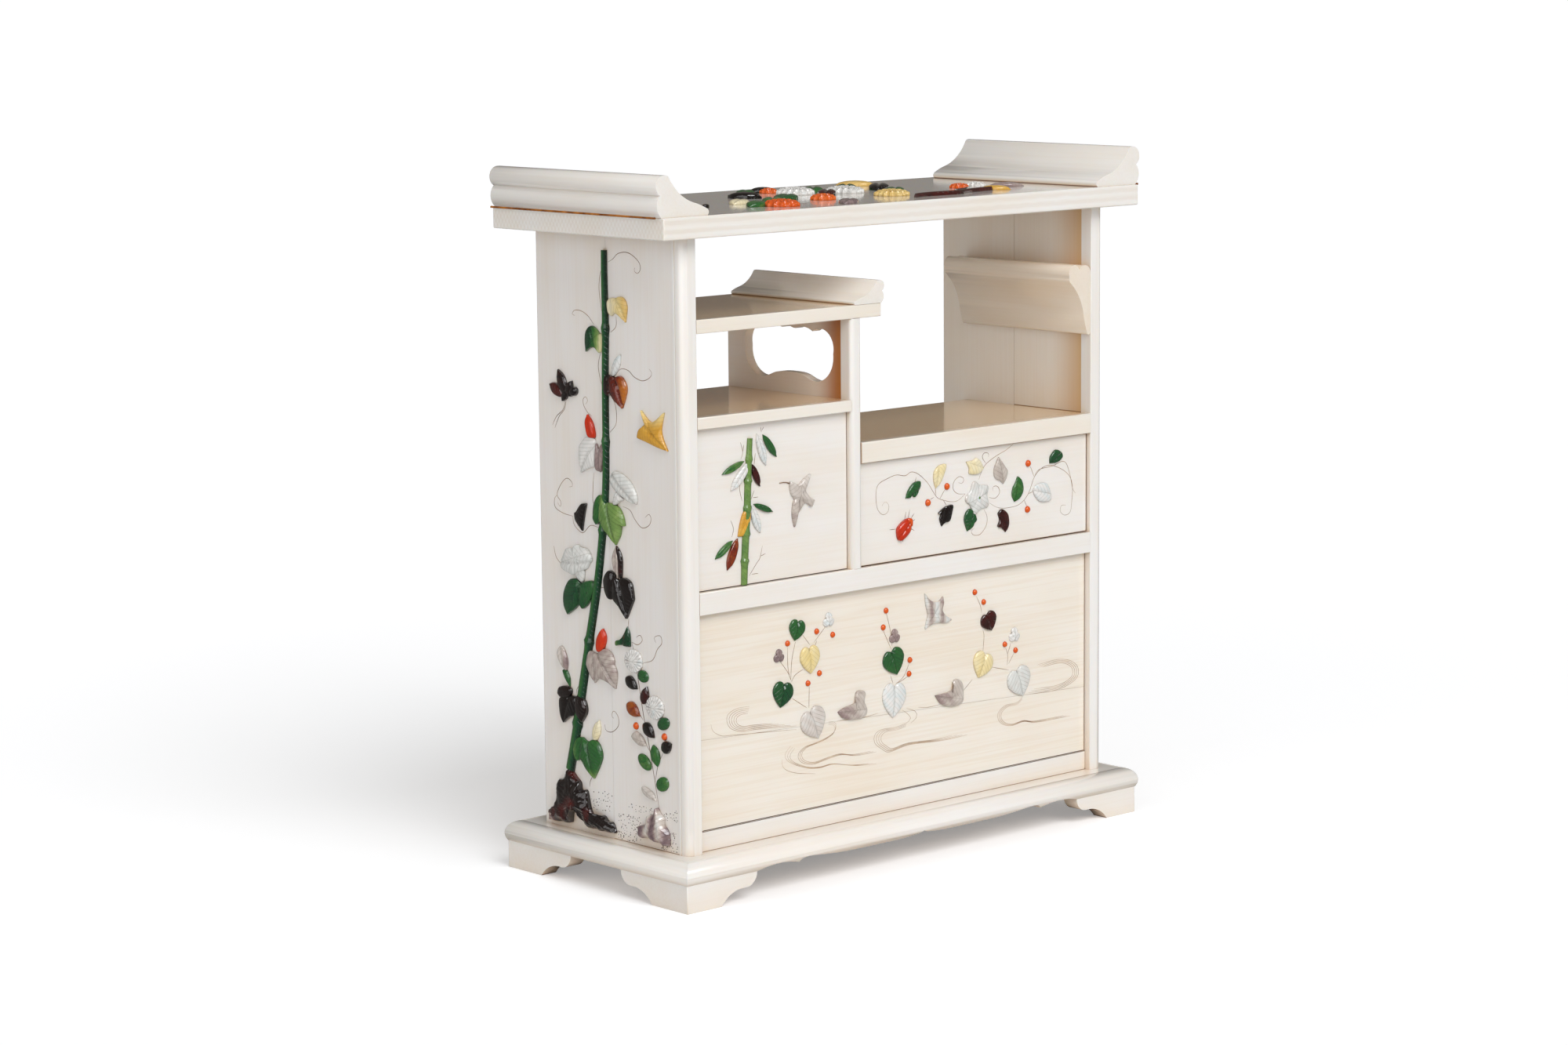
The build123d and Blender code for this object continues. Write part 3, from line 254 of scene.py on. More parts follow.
# Painted shade: the shelves turn tan behind their front edge, where the boards above shade them.
shelf_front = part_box("right_shelf")[0].y / MM
ivory_shelf = polished_ivory("polished_ivory_shelf", "#F2EBE0", "X", patina_and_shade=0.4,
                             painted_shade_band=(shelf_front + 0.5, shelf_front + 5.0, "#EACFA8"))
ivory_top = polished_ivory("end_grain_polished_ivory", "#F3F0EB", "X", hatched=True)
ivory_depth = polished_ivory("polished_ivory_across", "#F0ECE6", "Y")
paulownia = planed_paulownia()
brass = drawn_brass()

# Bone boiled in a verdigris dye and polished: deep bottle green to leaf green, wax-yellow edges.
green_bone = inlay_material(
    "green_stained_bone", ((0.0, "#08190F"), (0.25, "#17442A"), (0.5, "#30662F"), (0.75, "#7E9C52"),
                           (1.0, "#DAD2A2")), vein_depth=0.12, mottle=0.16, mottle_size=5.0,
    Roughness=0.14, IOR=1.54, Coat_Weight=0.5, Coat_Roughness=0.05)
# Nacre sawn from shell: silver white with rose and sea-green layers, or smoky from the dark shell.
nacre = inlay_material(
    "mother_of_pearl", ((0.0, "#6E5A5E"), (0.22, "#9F8A86"), (0.40, "#C6BAAF"), (0.56, "#D9D0C8"),
                        (0.72, "#DCDDD8"), (0.86, "#EAE6E1"), (1.0, "#D6E0E0")), vein_depth=0.12, mottle=0.14,
    mottle_size=4.0, bands=0.07, Roughness=0.12, IOR=1.6, Coat_Weight=0.8, Coat_Roughness=0.04)
# Polished turtle-shell substitute horn: nearly black, with wine-red and amber windows.
dark_horn = inlay_material(
    "tortoiseshell_horn", ((0.0, "#070303"), (0.4, "#160706"), (0.6, "#4A0F0C"), (0.8, "#7C2A12"),
                           (1.0, "#B8691F")), vein_depth=0.08, mottle=0.22, mottle_size=5.0,
    Roughness=0.07, IOR=1.55, Coat_Weight=1.0, Coat_Roughness=0.03)
# Precious coral, ground and polished: blood red to orange, waxy.
coral = inlay_material(
    "polished_coral", ((0.0, "#8E1608"), (0.4, "#CC3310"), (0.7, "#E0641F"), (1.0, "#EFA878")),
    mottle=0.12, mottle_size=1.5, Roughness=0.2, IOR=1.49, Coat_Weight=0.4)
# Stained blond horn: honey yellow to pale cream, a little cloudy.
blond_horn = inlay_material(
    "blond_horn", ((0.0, "#B97A22"), (0.35, "#DDA63C"), (0.65, "#E7CF8C"), (1.0, "#EFE6C8")),
    vein_depth=0.06, mottle=0.2, mottle_size=5.0, Roughness=0.18, IOR=1.54, Coat_Weight=0.5)
stain = engraved_stain()


def hide_glue():
    """Hide glue squeezed from a joint and gone hard: clear amber brown, glossy, with darker beads."""
    material, tree, shader = new_material("amber_hide_glue", Roughness=0.22, IOR=1.52)
    place = add(tree, "TexCoord").outputs["Object"]
    beads = add(tree, "TexNoise", {"Vector": place, "Scale": 1 / (5 * MM), "Detail": 2.0}).outputs["Fac"]
    colour = add(tree, "ValToRGB", {"Fac": beads}, stops=((0.35, "#6E3A14"), (0.65, "#B5702C")))
    tree.links.new(colour.outputs["Color"], shader.inputs["Base Color"])
    return material


glue = hide_glue()


# ---------------------------------------------------------------- carving helpers
def smooth_line(points, corners=(), closed=True):
    """A dense line through the points, curved everywhere but at the numbered corners."""
    count = len(points)
    places = [Vector((x, y, 0)) for x, y in points]
    line = []
    for i in range(count if closed else count - 1):
        here, there = places[i], places[(i + 1) % count]
        before = here if i in corners or (not closed and i == 0) else places[i - 1]
        last = not closed and i == count - 2
        after = there if (i + 1) % count in corners or last else places[(i + 2) % count]
        line += geometry.interpolate_bezier(here, here + (there - before) / 6,
                                            there - (after - here) / 6, there, 9)[:-1]
    return line if closed else line + [places[-1]]


def even_places(line, count, closed=True):
    """count places, evenly spaced along a line."""
    ends = line[1:] + line[:1] if closed else line[1:]
    lengths = [(b - a).length for a, b in zip(line, ends)]
    gap = sum(lengths) / (count if closed else count - 1)
    places, walked, i = [], 0.0, 0
    for k in range(count):
        while i < len(lengths) - 1 and walked + lengths[i] < k * gap:
            walked += lengths[i]
            i += 1
        share = min(1.0, (k * gap - walked) / max(lengths[i], 1e-9))
        places.append(line[i].lerp(ends[i], share))
    return places


def distance_to(line, place):
    """Distance from a place to a line of points, in the plane of the panel."""
    nearest = 1e9
    for a, b in zip(line, line[1:]):
        foot, share = geometry.intersect_point_line(place, a, b)
        foot = a if share < 0 else b if share > 1 else foot
        nearest = min(nearest, (place.xy - foot.xy).length)
    return nearest


class Inlay:
    """The pieces of one material on one panel, gathered into one mesh in the panel's millimetres."""

    def __init__(self):
        self.bm = bmesh.new()

    def take(self, part):
        """Moves a finished part into the gathered mesh."""
        bmesh.ops.recalc_face_normals(part, faces=part.faces)
        mesh = bpy.data.meshes.new("part")
        part.to_mesh(mesh)
        part.free()
        self.bm.from_mesh(mesh)
        bpy.data.meshes.remove(mesh)

    def piece(self, name, panel, material, body, slot, *replaced):
        """Lays the gathered mesh on its panel as one object, in place of the plainer nodes named."""
        self.bm.transform(panel)
        mesh = bpy.data.meshes.new(name)
        self.bm.to_mesh(mesh)
        self.bm.free()
        mesh.shade_smooth()
        mesh.set_sharp_from_angle(angle=math.radians(48))
        mesh.materials.append(material)
        made = bpy.data.objects.new(name, mesh)
        bpy.context.scene.collection.objects.link(made)
        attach(made, body)
        if replaced:
            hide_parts(*replaced)


def mark(part, shade, base, tip):
    """Stores the part's shade, and its vein map: millimetres from base to tip, and across."""
    layer = part.verts.layers.float.new("shade")
    for vert in part.verts:
        vert[layer] = shade(vert.co) if callable(shade) else shade
    uv = part.loops.layers.uv.new("veins")
    along = (tip - base).normalized() if (tip - base).length > 1e-6 else Vector((0, 1, 0))
    for face in part.faces:
        for loop in face.loops:
            offset = loop.vert.co - base
            loop[uv].uv = (offset.xy.dot(along.xy), offset.x * along.y - offset.y * along.x)


def carve(inlay, points, height, corners=(0,), shade=0.5, creases=(), middle=None, rim=0.4,
          count=64, rings=8, relief=None, crease_width=0.7, base=None):
    """A flat-backed carved piece inside an outline: walls at its rim, domed face, soft creases.
    The outline starts at the tip. relief(reach, turn, place) adds height of its own."""
    outline = even_places(smooth_line(points, corners), count)
    middle = Vector((*middle, 0)) if middle else sum(outline, Vector((0, 0, 0))) / count
    folds = [([Vector((x, y, 0)) for x, y in line], depth) for depth, line in creases]
    part = bmesh.new()
    height *= PROUD
    disc = bmesh.ops.create_circle(part, cap_ends=True, segments=count, radius=1.0)
    core = disc["verts"][0].link_faces[0]
    for ring in range(rings - 1):
        bmesh.ops.inset_region(part, faces=[core], thickness=1 / rings, use_boundary=True)
    bmesh.ops.poke(part, faces=[core])
    rim_edges = [edge for edge in part.edges if edge.is_boundary]
    wall = bmesh.ops.extrude_edge_only(part, edges=rim_edges)["geom"]
    foot = {item for item in wall if isinstance(item, bmesh.types.BMVert)}
    bmesh.ops.holes_fill(part, edges=[edge for edge in part.edges if edge.is_boundary], sides=0)
    for vert in part.verts:
        reach = min(1.0, vert.co.xy.length)
        turn = math.atan2(vert.co.y, vert.co.x) / math.tau
        edge = outline[round(turn * count) % count]
        spread = 1 - (1 - reach) ** 1.6
        place = middle.lerp(edge, spread)
        if vert in foot:
            vert.co = (place.x, place.y, -SINK)
            continue
        rise = height * (rim + (1 - rim) * math.sqrt(max(0.0, 1 - spread ** 2.4)))
        for line, depth in folds:
            rise -= CUT * depth * math.exp(-(distance_to(line, place) / crease_width) ** 2)
        if relief:
            rise += relief(spread, turn, place)
        vert.co = (place.x, place.y, max(0.12, rise))
    tip = outline[0]
    mark(part, shade, Vector((*base, 0)) if base else middle * 2 - tip, tip)
    inlay.take(part)


def almond(tip, butt, width, belly=0.5):
    """Outline of a pointed leaf or bud from its tip to its butt, widest at belly."""
    tip, butt = Vector(tip), Vector(butt)
    along = butt - tip
    side = Vector((-along.y, along.x)).normalized() * width / 2
    shares = ((0.0, 0.0), (belly * 0.45, 0.72), (belly, 1.0), (belly + (1 - belly) * 0.62, 0.74), (1.0, 0.0))
    right = [tip + along * a + side * b for a, b in shares]
    left = [tip + along * a - side * b for a, b in shares[-2:0:-1]]
    return [tuple(p) for p in right + left]


def ring_outline(middle, width, height, petals=0, depth=0.0, turned=0.0, count=32):
    """Outline of an oval, or of a flower with round petals."""
    places = []
    for k in range(count):
        angle = math.tau * k / count
        reach = 1 - depth * abs(math.sin(petals * angle / 2)) if petals else 1.0
        x, y = math.cos(angle) * width / 2 * reach, math.sin(angle) * height / 2 * reach
        c, s = math.cos(turned), math.sin(turned)
        places.append((middle[0] + x * c - y * s, middle[1] + x * s + y * c))
    return places


def leaf(inlay, tip, butt, width, height, shade):
    """A plain pointed leaf."""
    carve(inlay, almond(tip, butt, width), height, (0, 4), shade, count=40, rings=6)


def oval(inlay, middle, width, tall, rise, turned, shade):
    """A domed oval, such as a small leaf of the flowering branch."""
    outline = ring_outline(middle, width, tall, turned=math.radians(turned), count=16)
    carve(inlay, outline, rise, (), shade, count=32, rings=5)


def bead(inlay, middle, radius, rise, shade=0.7):
    """A round berry, set as a half ball."""
    part = bmesh.new()
    bmesh.ops.create_uvsphere(part, u_segments=14, v_segments=8, radius=1.0)
    for vert in part.verts:
        x, y, z = vert.co
        vert.co = (middle[0] + x * radius, middle[1] + y * radius, z * rise)
    mark(part, shade, Vector((*middle, 0)), Vector((*middle, 0)))
    inlay.take(part)


def rod(inlay, points, widths, height, shade=0.5, sides=12, stations=24, joints=(), sink=SINK, taper=0.0,
        shaded_flank=0.0):
    """A half-round rod laid along a path. widths are given at its points; joints are the shares of its
    length where the cane swells; taper thins its ends like a graver's line; a flank value above zero
    paints shade along its right side, seen along the path, and one below zero along its left side."""
    path = even_places(smooth_line(points, closed=False), stations, closed=False)
    part = bmesh.new()
    disc = bmesh.ops.create_circle(part, cap_ends=True, segments=sides, radius=1.0)
    face = disc["verts"][0].link_faces[0]
    for station in range(stations - 1):
        moved = bmesh.ops.extrude_face_region(part, geom=[face])["geom"]
        face = next(item for item in moved if isinstance(item, bmesh.types.BMFace))
        bmesh.ops.translate(part, verts=list(face.verts), vec=(0, 0, 1))
    bmesh.ops.holes_fill(part, edges=[edge for edge in part.edges if edge.is_boundary], sides=0)
    across = []
    for vert in part.verts:
        station = round(vert.co.z)
        share = station / (stations - 1)
        here = path[station]
        ahead = path[min(station + 1, stations - 1)] - path[max(station - 1, 0)]
        side = Vector((ahead.y, -ahead.x, 0)).normalized()
        span = share * (len(widths) - 1)
        low = min(int(span), len(widths) - 2)
        half = (widths[low] + (widths[low + 1] - widths[low]) * (span - low)) / 2
        swell = 1 + sum(0.3 * math.exp(-((share - j) * (stations - 1) / 0.8) ** 2) for j in joints)
        thin = 1 - taper * (2 * abs(share - 0.5)) ** 3
        x, y = vert.co.x, vert.co.y
        place = here + side * x * half * swell * thin
        vert.co = (place.x, place.y, y * height * swell * thin if y > 0 else y * sink)
        across.append(x)
    mark(part, shade, path[0], path[-1])
    layer = part.verts.layers.float["shade"]
    for vert, x in zip(part.verts, across):
        vert[layer] -= max(0.0, shaded_flank * x)
    inlay.take(part)


def scratch(inlay, points, width=0.3, shade=0.42, spacing=0.9):
    """A fine engraved line, laid as a stain-filled thread level with the panel's face."""
    length = sum((Vector(b) - Vector(a)).length for a, b in zip(points, points[1:]))
    rod(inlay, points, (width, width), 0.035, shade, sides=6, stations=max(4, round(length / spacing)),
        sink=0.03, taper=0.6)


def rows(depth, count, power=3.0, start=0.0):
    """Relief of petals: radial grooves between count petals, from start outwards."""
    def relief(reach, turn, place):
        groove = (0.5 + 0.5 * math.cos(turn * math.tau * count)) ** power
        return -depth * groove * (1 if reach > start else 0)
    return relief


def panel_frame(origin, right, up):
    """From a panel's millimetres to the row frame's metres, with the face's outward side up."""
    right, up = Vector(right), Vector(up)
    turn = Matrix((right, up, right.cross(up))).transposed().to_4x4()
    return Matrix.Translation(origin) @ turn @ Matrix.Scale(MM, 4)


# What the carved pieces of a panel are called: their material, and a slot name, which is passed along but not
# recorded.
KINDS = {
    "carved_bone": (green_bone, "green_bone"), "carved_shell": (nacre, "mother_of_pearl"),
    "carved_tortoiseshell": (dark_horn, "tortoiseshell"), "carved_coral": (coral, "coral"),
    "carved_horn": (blond_horn, "horn"), "engraved_lines": (stain, "ivory")}


def lay(where, panel, body, *groups):
    """Lays a panel's groups on it. Each is its kind, its pieces and the plainer nodes it replaces."""
    for kind, inlay, *replaced in groups:
        material, slot = KINDS[kind]
        inlay.piece(f"{where}_{kind}", panel, material, body, slot, *replaced)


side_panel = panel_frame((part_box("left_side_front_board")[0].x, 0, 0), (0, -1, 0), (0, 0, 1))
door_panel = panel_frame((0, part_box("door")[0].y, 0), (1, 0, 0), (0, 0, 1))
drawer_panel = panel_frame((0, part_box("drawer_front")[0].y, 0), (1, 0, 0), (0, 0, 1))
large_panel = panel_frame((0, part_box("large_drawer_upper_front")[0].y, 0), (1, 0, 0), (0, 0, 1))
top_panel = panel_frame((0, 0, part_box("top_board")[1].z), (1, 0, 0), (0, 1, 0))


# ---------------------------------------------------------------- left side: climbing vine on a cane
def side_ornament():
    green, pearl, dark, red, yellow, lines = (Inlay() for _ in range(6))

    cane = [(-0.1, 250), (-0.2, 238), (0, 220), (-0.6, 201.5), (-0.8, 181), (-1, 166),
            (-1.8, 153.5), (-3.6, 140.5), (-7.2, 120), (-12.6, 97.5), (-16.8, 80),
            (-21.5, 60), (-26, 43)]
    # Painted shade darkens the cane's flank towards the front of the cabinet.
    rod(green, cane, (2.7, 3.2, 3.3, 3.2, 3.6, 4.0, 4.3, 4.6, 5.0), 1.8, sides=16, stations=120, shade=0.46,
        joints=(0.145, 0.355, 0.52, 0.74, 0.905), shaded_flank=-0.42)

    # Leaves of stained bone, from the top down.
    carve(green, [(-11.9, 210), (-12.3, 214.6), (-11.5, 218.3), (-8.6, 220.3), (-5.6, 219.4), (-3.6, 217.6),
        (-1.4, 217.2), (-1, 211.8), (-3.8, 210), (-6.3, 211.7), (-8.7, 211.8)], 1.3, (0, 8),
        lambda p: 0.2 + 0.12 * max(0, p.x + 9) + 0.25 * max(0, 213 - p.y) / 4,
        creases=((0.35, ((-8.4, 219), (-6.3, 212.5))),))
    carve(green, [(4.4, 136), (-0.1, 139.7), (-3.3, 142.2), (-5, 144.8), (-6.8, 142.8), (-8.9, 145),
        (-8.2, 150.6), (-6.1, 153.9), (-3.5, 154.8), (-0.5, 152.4), (3, 152.1), (6.5, 150.9), (9, 147.8),
        (10.1, 143.9), (7.9, 144.1), (7.2, 140.2)], 1.9, (0, 5, 13, 14),
        lambda p: 0.62 + 0.012 * (p.x + 2) - 0.1 * (p.x < -4), creases=((0.6,
        ((-0.6, 152.5), (1.6, 147), (4.3, 137))), (0.5, ((-3.8, 154), (-4.6, 149.5), (-5, 144.5)))),
        middle=(1, 146.5), count=96, rings=12, base=(-0.5, 153))
    carve(green, [(-25.6, 105.1), (-27.8, 108.7), (-27.6, 114), (-24.3, 119), (-19.8, 120.1), (-17.2, 118.7),
        (-13.6, 119.9), (-10.1, 120.1), (-8.8, 117.3), (-10.7, 113.7), (-13.4, 110.2), (-16.1, 108.4),
        (-18.3, 109.9), (-21.1, 107.8)], 1.7, (0, 11), lambda p: 0.3 + 0.02 * max(0, p.x + 17), creases=((0.7,
        ((-17.2, 119), (-18, 114), (-18.3, 109.5))), (0.35, ((-11.5, 118.5), (-15, 110.5)))), count=96,
        rings=11, middle=(-18.6, 114.3), base=(-17.2, 118.7))
    carve(green, [(12, 97), (9.6, 96.7), (6, 96.9), (3.4, 96.4), (3.3, 98.2), (7, 99.8), (10.3, 104.8),
        (11.8, 101.6)], 1.2, (0, 6), lambda p: 0.22 + 0.12 * max(0, 7.2 - p.x),
        creases=((0.3, ((10.3, 104.5), (7.2, 97))),))
    carve(green, [(-11, 41.4), (-15.2, 44.3), (-18.8, 48), (-20.9, 47.1), (-22.9, 48.6), (-23.6, 52.1),
        (-21.6, 55.8), (-18, 57), (-14.7, 55.8), (-10.6, 57.1), (-7.3, 55.2), (-5.8, 51), (-7.7, 46.5)], 1.8,
        (0,), lambda p: 0.45 + 0.05 * max(0, 46 - p.y) + 0.04 * max(0, -19 - p.x), creases=((0.6,
        ((-14.8, 56), (-12.6, 49), (-11, 42.5))), (0.4, ((-17.8, 56), (-19.2, 48.5)))), count=96, rings=11,
        middle=(-13.6, 50.6), base=(-14.7, 55.8))
    carve(green, [(-25.2, 76.2), (-27.9, 78.9), (-29.8, 82.4), (-28.2, 82.9), (-26.9, 82.4), (-25.3, 79.6)],
        0.9, (0, 2, 4), 0.4, count=32, rings=5)
    for middle, width, tall, turn, tone in (
            ((19.3, 86.3), 6.0, 4.8, -8, 0.4), ((31, 69.3), 7.0, 4.9, 22, 0.34),
            ((19.5, 52.6), 8.4, 5.2, -32, 0.52), ((29.9, 45.4), 7.4, 5.6, 24, 0.5)):
        oval(green, middle, width, tall, 1.0, turn, tone)
    leaf(green, (27.2, 51.9), (24.7, 60.2), 5.0, 1.0, 0.5)

    # Tortoiseshell: leaves, butterfly, rocks and small leaves of the low branch.
    carve(dark, [(9.5, 189.6), (5.5, 192), (2.8, 194.8), (0.7, 193.7), (-1.5, 195.6), (-1.2, 200.7),
        (1.7, 202.1), (4.9, 201.4), (8.2, 202.1), (10.7, 200.7), (12.3, 197.5), (11.3, 193.5)], 1.7, (0, 2),
        lambda p: 0.3 + 0.06 * max(0, p.x), creases=((0.7, ((5, 201.4), (8.2, 197.5), (9.7, 191))),
        (0.5, ((2, 201.5), (2.8, 195.5)))), count=80, rings=10, middle=(5.2, 197.2), base=(5, 201))
    carve(dark, [(-15.8, 139.4), (-18.4, 141.5), (-20.2, 143.6), (-20.6, 146.4), (-19.6, 146.6), (-16.4, 150),
        (-13, 150.5), (-14.2, 146.5), (-15.2, 142.4)], 1.3, (0, 3, 6), 0.1, count=48, rings=6)
    carve(dark, [(10.3, 107.8), (6.4, 111.7), (2.6, 114.3), (-0.5, 114.6), (-2.4, 117.6), (-2.9, 122),
        (-0.2, 125.5), (2.8, 125), (5.8, 122.6), (8, 123.6), (10.4, 123.6), (13.6, 121.7), (14.9, 115.9),
        (12.7, 111.9)], 1.9, (0, 2, 12), lambda p: 0.12 + 0.3 * (p.x < -1), creases=((0.8, ((6.2, 122.6),
        (8.4, 117), (10.3, 109.5))), (0.6, ((3, 125), (3, 119), (2.4, 114.5)))), count=96, rings=11,
        middle=(5.8, 117.6), base=(6, 122))
    carve(dark, [(7.4, 123.2), (6, 123.8), (6, 129), (4.4, 135.9), (7, 133.2), (8, 129.5)], 1.0, (3,), 0.45,
        count=32, rings=5)
    carve(dark, [(-29.3, 61.2), (-31.1, 64.3), (-31.7, 69.7), (-30.6, 71.5), (-27.3, 72.4), (-21.5, 72.6),
        (-20.7, 68), (-21.8, 65.2), (-25.1, 64)], 1.7, (0,), 0.12, count=64, rings=8,
        creases=((0.4, ((-25, 72), (-28.6, 63))),))
    carve(dark, [(-32.8, 72.6), (-31.8, 75.2), (-27.5, 76.4), (-24, 75.2), (-25.4, 72.2), (-30.6, 71.2)], 1.5,
        (0,), 0.3, count=40, rings=6)
    carve(dark, [(-17.8, 63), (-20.6, 65.4), (-21.4, 69.5), (-20.6, 73.2), (-18.3, 73.9), (-15.3, 71.2),
        (-14.7, 67.2)], 1.9, (0,), 0.36, count=48, rings=7)
    for outline, tone in (
            (almond((-29.3, 201.9), (-25, 192.6), 5.0, 0.55), 0.4), (almond((-34.6, 195.9), (-26.2, 191.6),
                4.6, 0.45), 0.55),
            (almond((-20.8, 198), (-24.2, 192.4), 3.6, 0.5), 0.4), (almond((-26.8, 189.4), (-23.6, 194.6),
                3.2, 0.5), 0.2)):
        carve(dark, outline, 1.2, (0,), tone, count=40, rings=6)
    oval(dark, (-19.6, 193.9), 4.4, 3.6, 1.6, 20, 0.15)
    oval(dark, (-21.8, 192.8), 2.8, 2.4, 1.3, 0, 0.1)

    def lump(reach, turn, place):
        return 1.1 * noise.noise(place * 0.28) + 0.45 * noise.noise(place * 0.8)

    carve(dark, [(-25.8, 43.2), (-24.3, 42.6), (-21.8, 40.4), (-19.2, 38.4), (-18.8, 35.8), (-15.6, 36),
        (-14.4, 32.6), (-13.4, 29), (-11.8, 26.2), (-10.2, 24.6), (-8, 26.9), (-5, 27.4), (-2.6, 25.6),
        (0.2, 25.4), (2.2, 21.6), (-8, 21.3), (-14.4, 21.9), (-16.4, 23.6), (-19.4, 25.4), (-23.6, 26.8),
        (-24.9, 21.4), (-32, 20.9), (-39, 20.6), (-38.4, 25), (-35, 27.2), (-34, 31), (-34.2, 35.6),
        (-31.8, 38.2), (-29.2, 39.2), (-27.4, 42)], 3.0, (0, 14, 20, 22),
        lambda p: 0.28 + 0.5 * max(0.0, noise.noise(p * 0.16)) + 0.25 * (p.x < -33), middle=(-22, 30),
        count=144, rings=14, relief=lump, rim=0.3)
    for middle, width, tall, turn, tone in (
            ((12.4, 82.7), 7.8, 4.8, -30, 0.1), ((20.3, 79), 7.6, 4.6, 72, 0.42),
                ((13.2, 72.3), 8.6, 5.4, -28, 0.86),
            ((22.3, 65.4), 8.0, 5.2, -38, 0.08), ((32.8, 60.5), 6.4, 5.0, 30, 0.12)):
        tip_turn = math.radians(turn)
        reach = Vector((math.cos(tip_turn), math.sin(tip_turn))) * width / 2
        place = Vector(middle)
        outline = almond(place + reach, place - reach, tall, 0.6)
        carve(dark, outline, 1.2, (0,), tone, count=32, rings=5)

    # Shell: leaves, bells of the morning glory, buds, flowers and the pale rock.
    carve(pearl, [(-16, 162.4), (-16.9, 166.2), (-17, 171), (-16.4, 173.3), (-13, 176.5), (-8.6, 177.1),
        (-6.7, 174.5), (-7.4, 168), (-7.6, 165.4), (-11.5, 164.4)], 1.3, (0, 5, 8), 0.82, count=64, rings=8,
        creases=((0.45, ((-6.8, 174), (-12, 170.5), (-16, 164))),), base=(-6.7, 174.5))
    carve(pearl, [(-5, 163.8), (-7.4, 165.2), (-6.8, 174.4), (-4.8, 172.2), (-3.4, 174.7), (-1.7, 172.7),
        (-2.4, 168.7), (-3.8, 164)], 1.2, (0,), 0.2, count=48, rings=6,
        creases=((0.4, ((-4.8, 172), (-5.2, 164.5))),))

    def folds(count, depth):
        return lambda reach, turn, place: depth * math.cos(turn * math.tau * count) * reach * (1.2 - reach)

    carve(pearl, [(17, 153.2), (13.2, 153.7), (9.4, 155.2), (5.2, 157.2), (2.4, 159.6), (1.6, 162.2),
        (4, 164.7), (8.3, 164.2), (12.8, 162.1), (16, 158.7), (17.4, 155.4)], 1.6, (0,), 0.7, count=64,
        rings=8, creases=((0.5, ((2.6, 163), (8, 159.5), (15.8, 153.8))),), relief=folds(9, 0.22))
    carve(pearl, [(4.6, 151.5), (3.2, 152.2), (4.6, 156.2), (6.2, 157.2), (9.2, 154.4), (7, 153.2)], 1.3, (),
        0.84, count=32, rings=5)
    carve(pearl, [(-29.2, 125.4), (-27.4, 128.6), (-25.4, 131.6), (-22.2, 132), (-19.4, 133.6),
        (-16.4, 132.8), (-13.4, 132.6), (-11.4, 130.8), (-10.4, 128.4), (-12.2, 126.4), (-13.6, 124.6),
        (-18, 122.8), (-21.4, 121.4), (-24.6, 122), (-28.3, 123.1)], 1.9, (), 0.76, count=80, rings=10,
        middle=(-19.2, 128.6), relief=folds(11, 0.3), creases=((0.5, ((-28.4, 125.6), (-20, 126.2),
        (-11.6, 127.6))),))
    carve(pearl, [(-17.6, 119.2), (-20.6, 121.4), (-20.2, 123.2), (-15.4, 124.2), (-15.6, 119.6)], 1.1, (),
        0.7, count=32, rings=5)
    carve(pearl, [(5.2, 122.8), (3.6, 125.4), (2.2, 130.4), (4.2, 135.9), (6.2, 131.8), (6.1, 126.6)], 1.3,
        (0, 3), 0.36, count=40, rings=6, creases=((0.3, ((4.3, 135), (4.6, 124))),))
    carve(pearl, [(2.9, 79.2), (-2, 81.2), (-7.1, 81.9), (-9.7, 79.8), (-12.1, 82.6), (-14.9, 87),
        (-14.3, 90.4), (-12.3, 92.4), (-8.4, 91.9), (-3.6, 94.2), (0.5, 93.1), (2.4, 89.9), (2, 88.8),
        (3.8, 85.3)], 1.6, (0, 3, 11, 12), 0.33, count=96, rings=10, middle=(-4, 86.6), base=(-8.2, 92),
        creases=((0.6, ((-8, 92), (-2.5, 86.8), (2.6, 80.5))), (0.5, ((-10.6, 91.8), (-9.6, 86),
        (-9.7, 80.8)))))
    carve(pearl, [(-29, 83.2), (-31.9, 86.6), (-32.6, 89.5), (-30.4, 92), (-28.1, 90.1), (-26.5, 86.1),
        (-27.2, 82.6)], 1.3, (), lambda p: 0.5 - 0.12 * max(0, p.x + 29.5), count=40, rings=6,
        creases=((0.3, ((-30.3, 91), (-28.4, 83.5))),))
    carve(pearl, [(3.6, 201.8), (3.4, 203.6), (5.4, 207.9), (8.6, 210.6), (8.4, 206.8), (7, 204.1),
        (5, 201.9)], 1.1, (3,), 0.9, count=32, rings=5)
    for middle in ((13.8, 91.6), (26.2, 74.9)):
        flower = ring_outline(middle, 10.6, 9.4, 18, 0.05, count=72)
        petals, centre = rows(0.4, 18, 2.0, 0.58), rows(0.3, 12, 2.0, 0.2)
        carve(pearl, flower, 1.1, (), 0.86, count=144, rings=8, rim=0.6, relief=lambda reach, turn,
            place: (petals if reach > 0.58 else centre)(reach, turn, place) + (0.35 if reach < 0.5 else 0.0))
    carve(pearl, [(12, 61.6), (14.5, 64), (18.4, 62.4), (20.8, 59.2), (16.6, 58.8)], 1.1, (3,), 0.42,
        count=32, rings=5)
    carve(pearl, [(26.2, 38.2), (22, 38.6), (18.4, 40.2), (17.6, 42.6), (20.4, 42.6), (24.4, 41)], 0.9, (0,),
        0.5, count=32, rings=5)

    def crag(reach, turn, place):
        return 1.0 * math.cos((place.x * 0.9 + place.y * 0.25) * 1.1) * reach + 0.5 * noise.noise(place * 0.6)

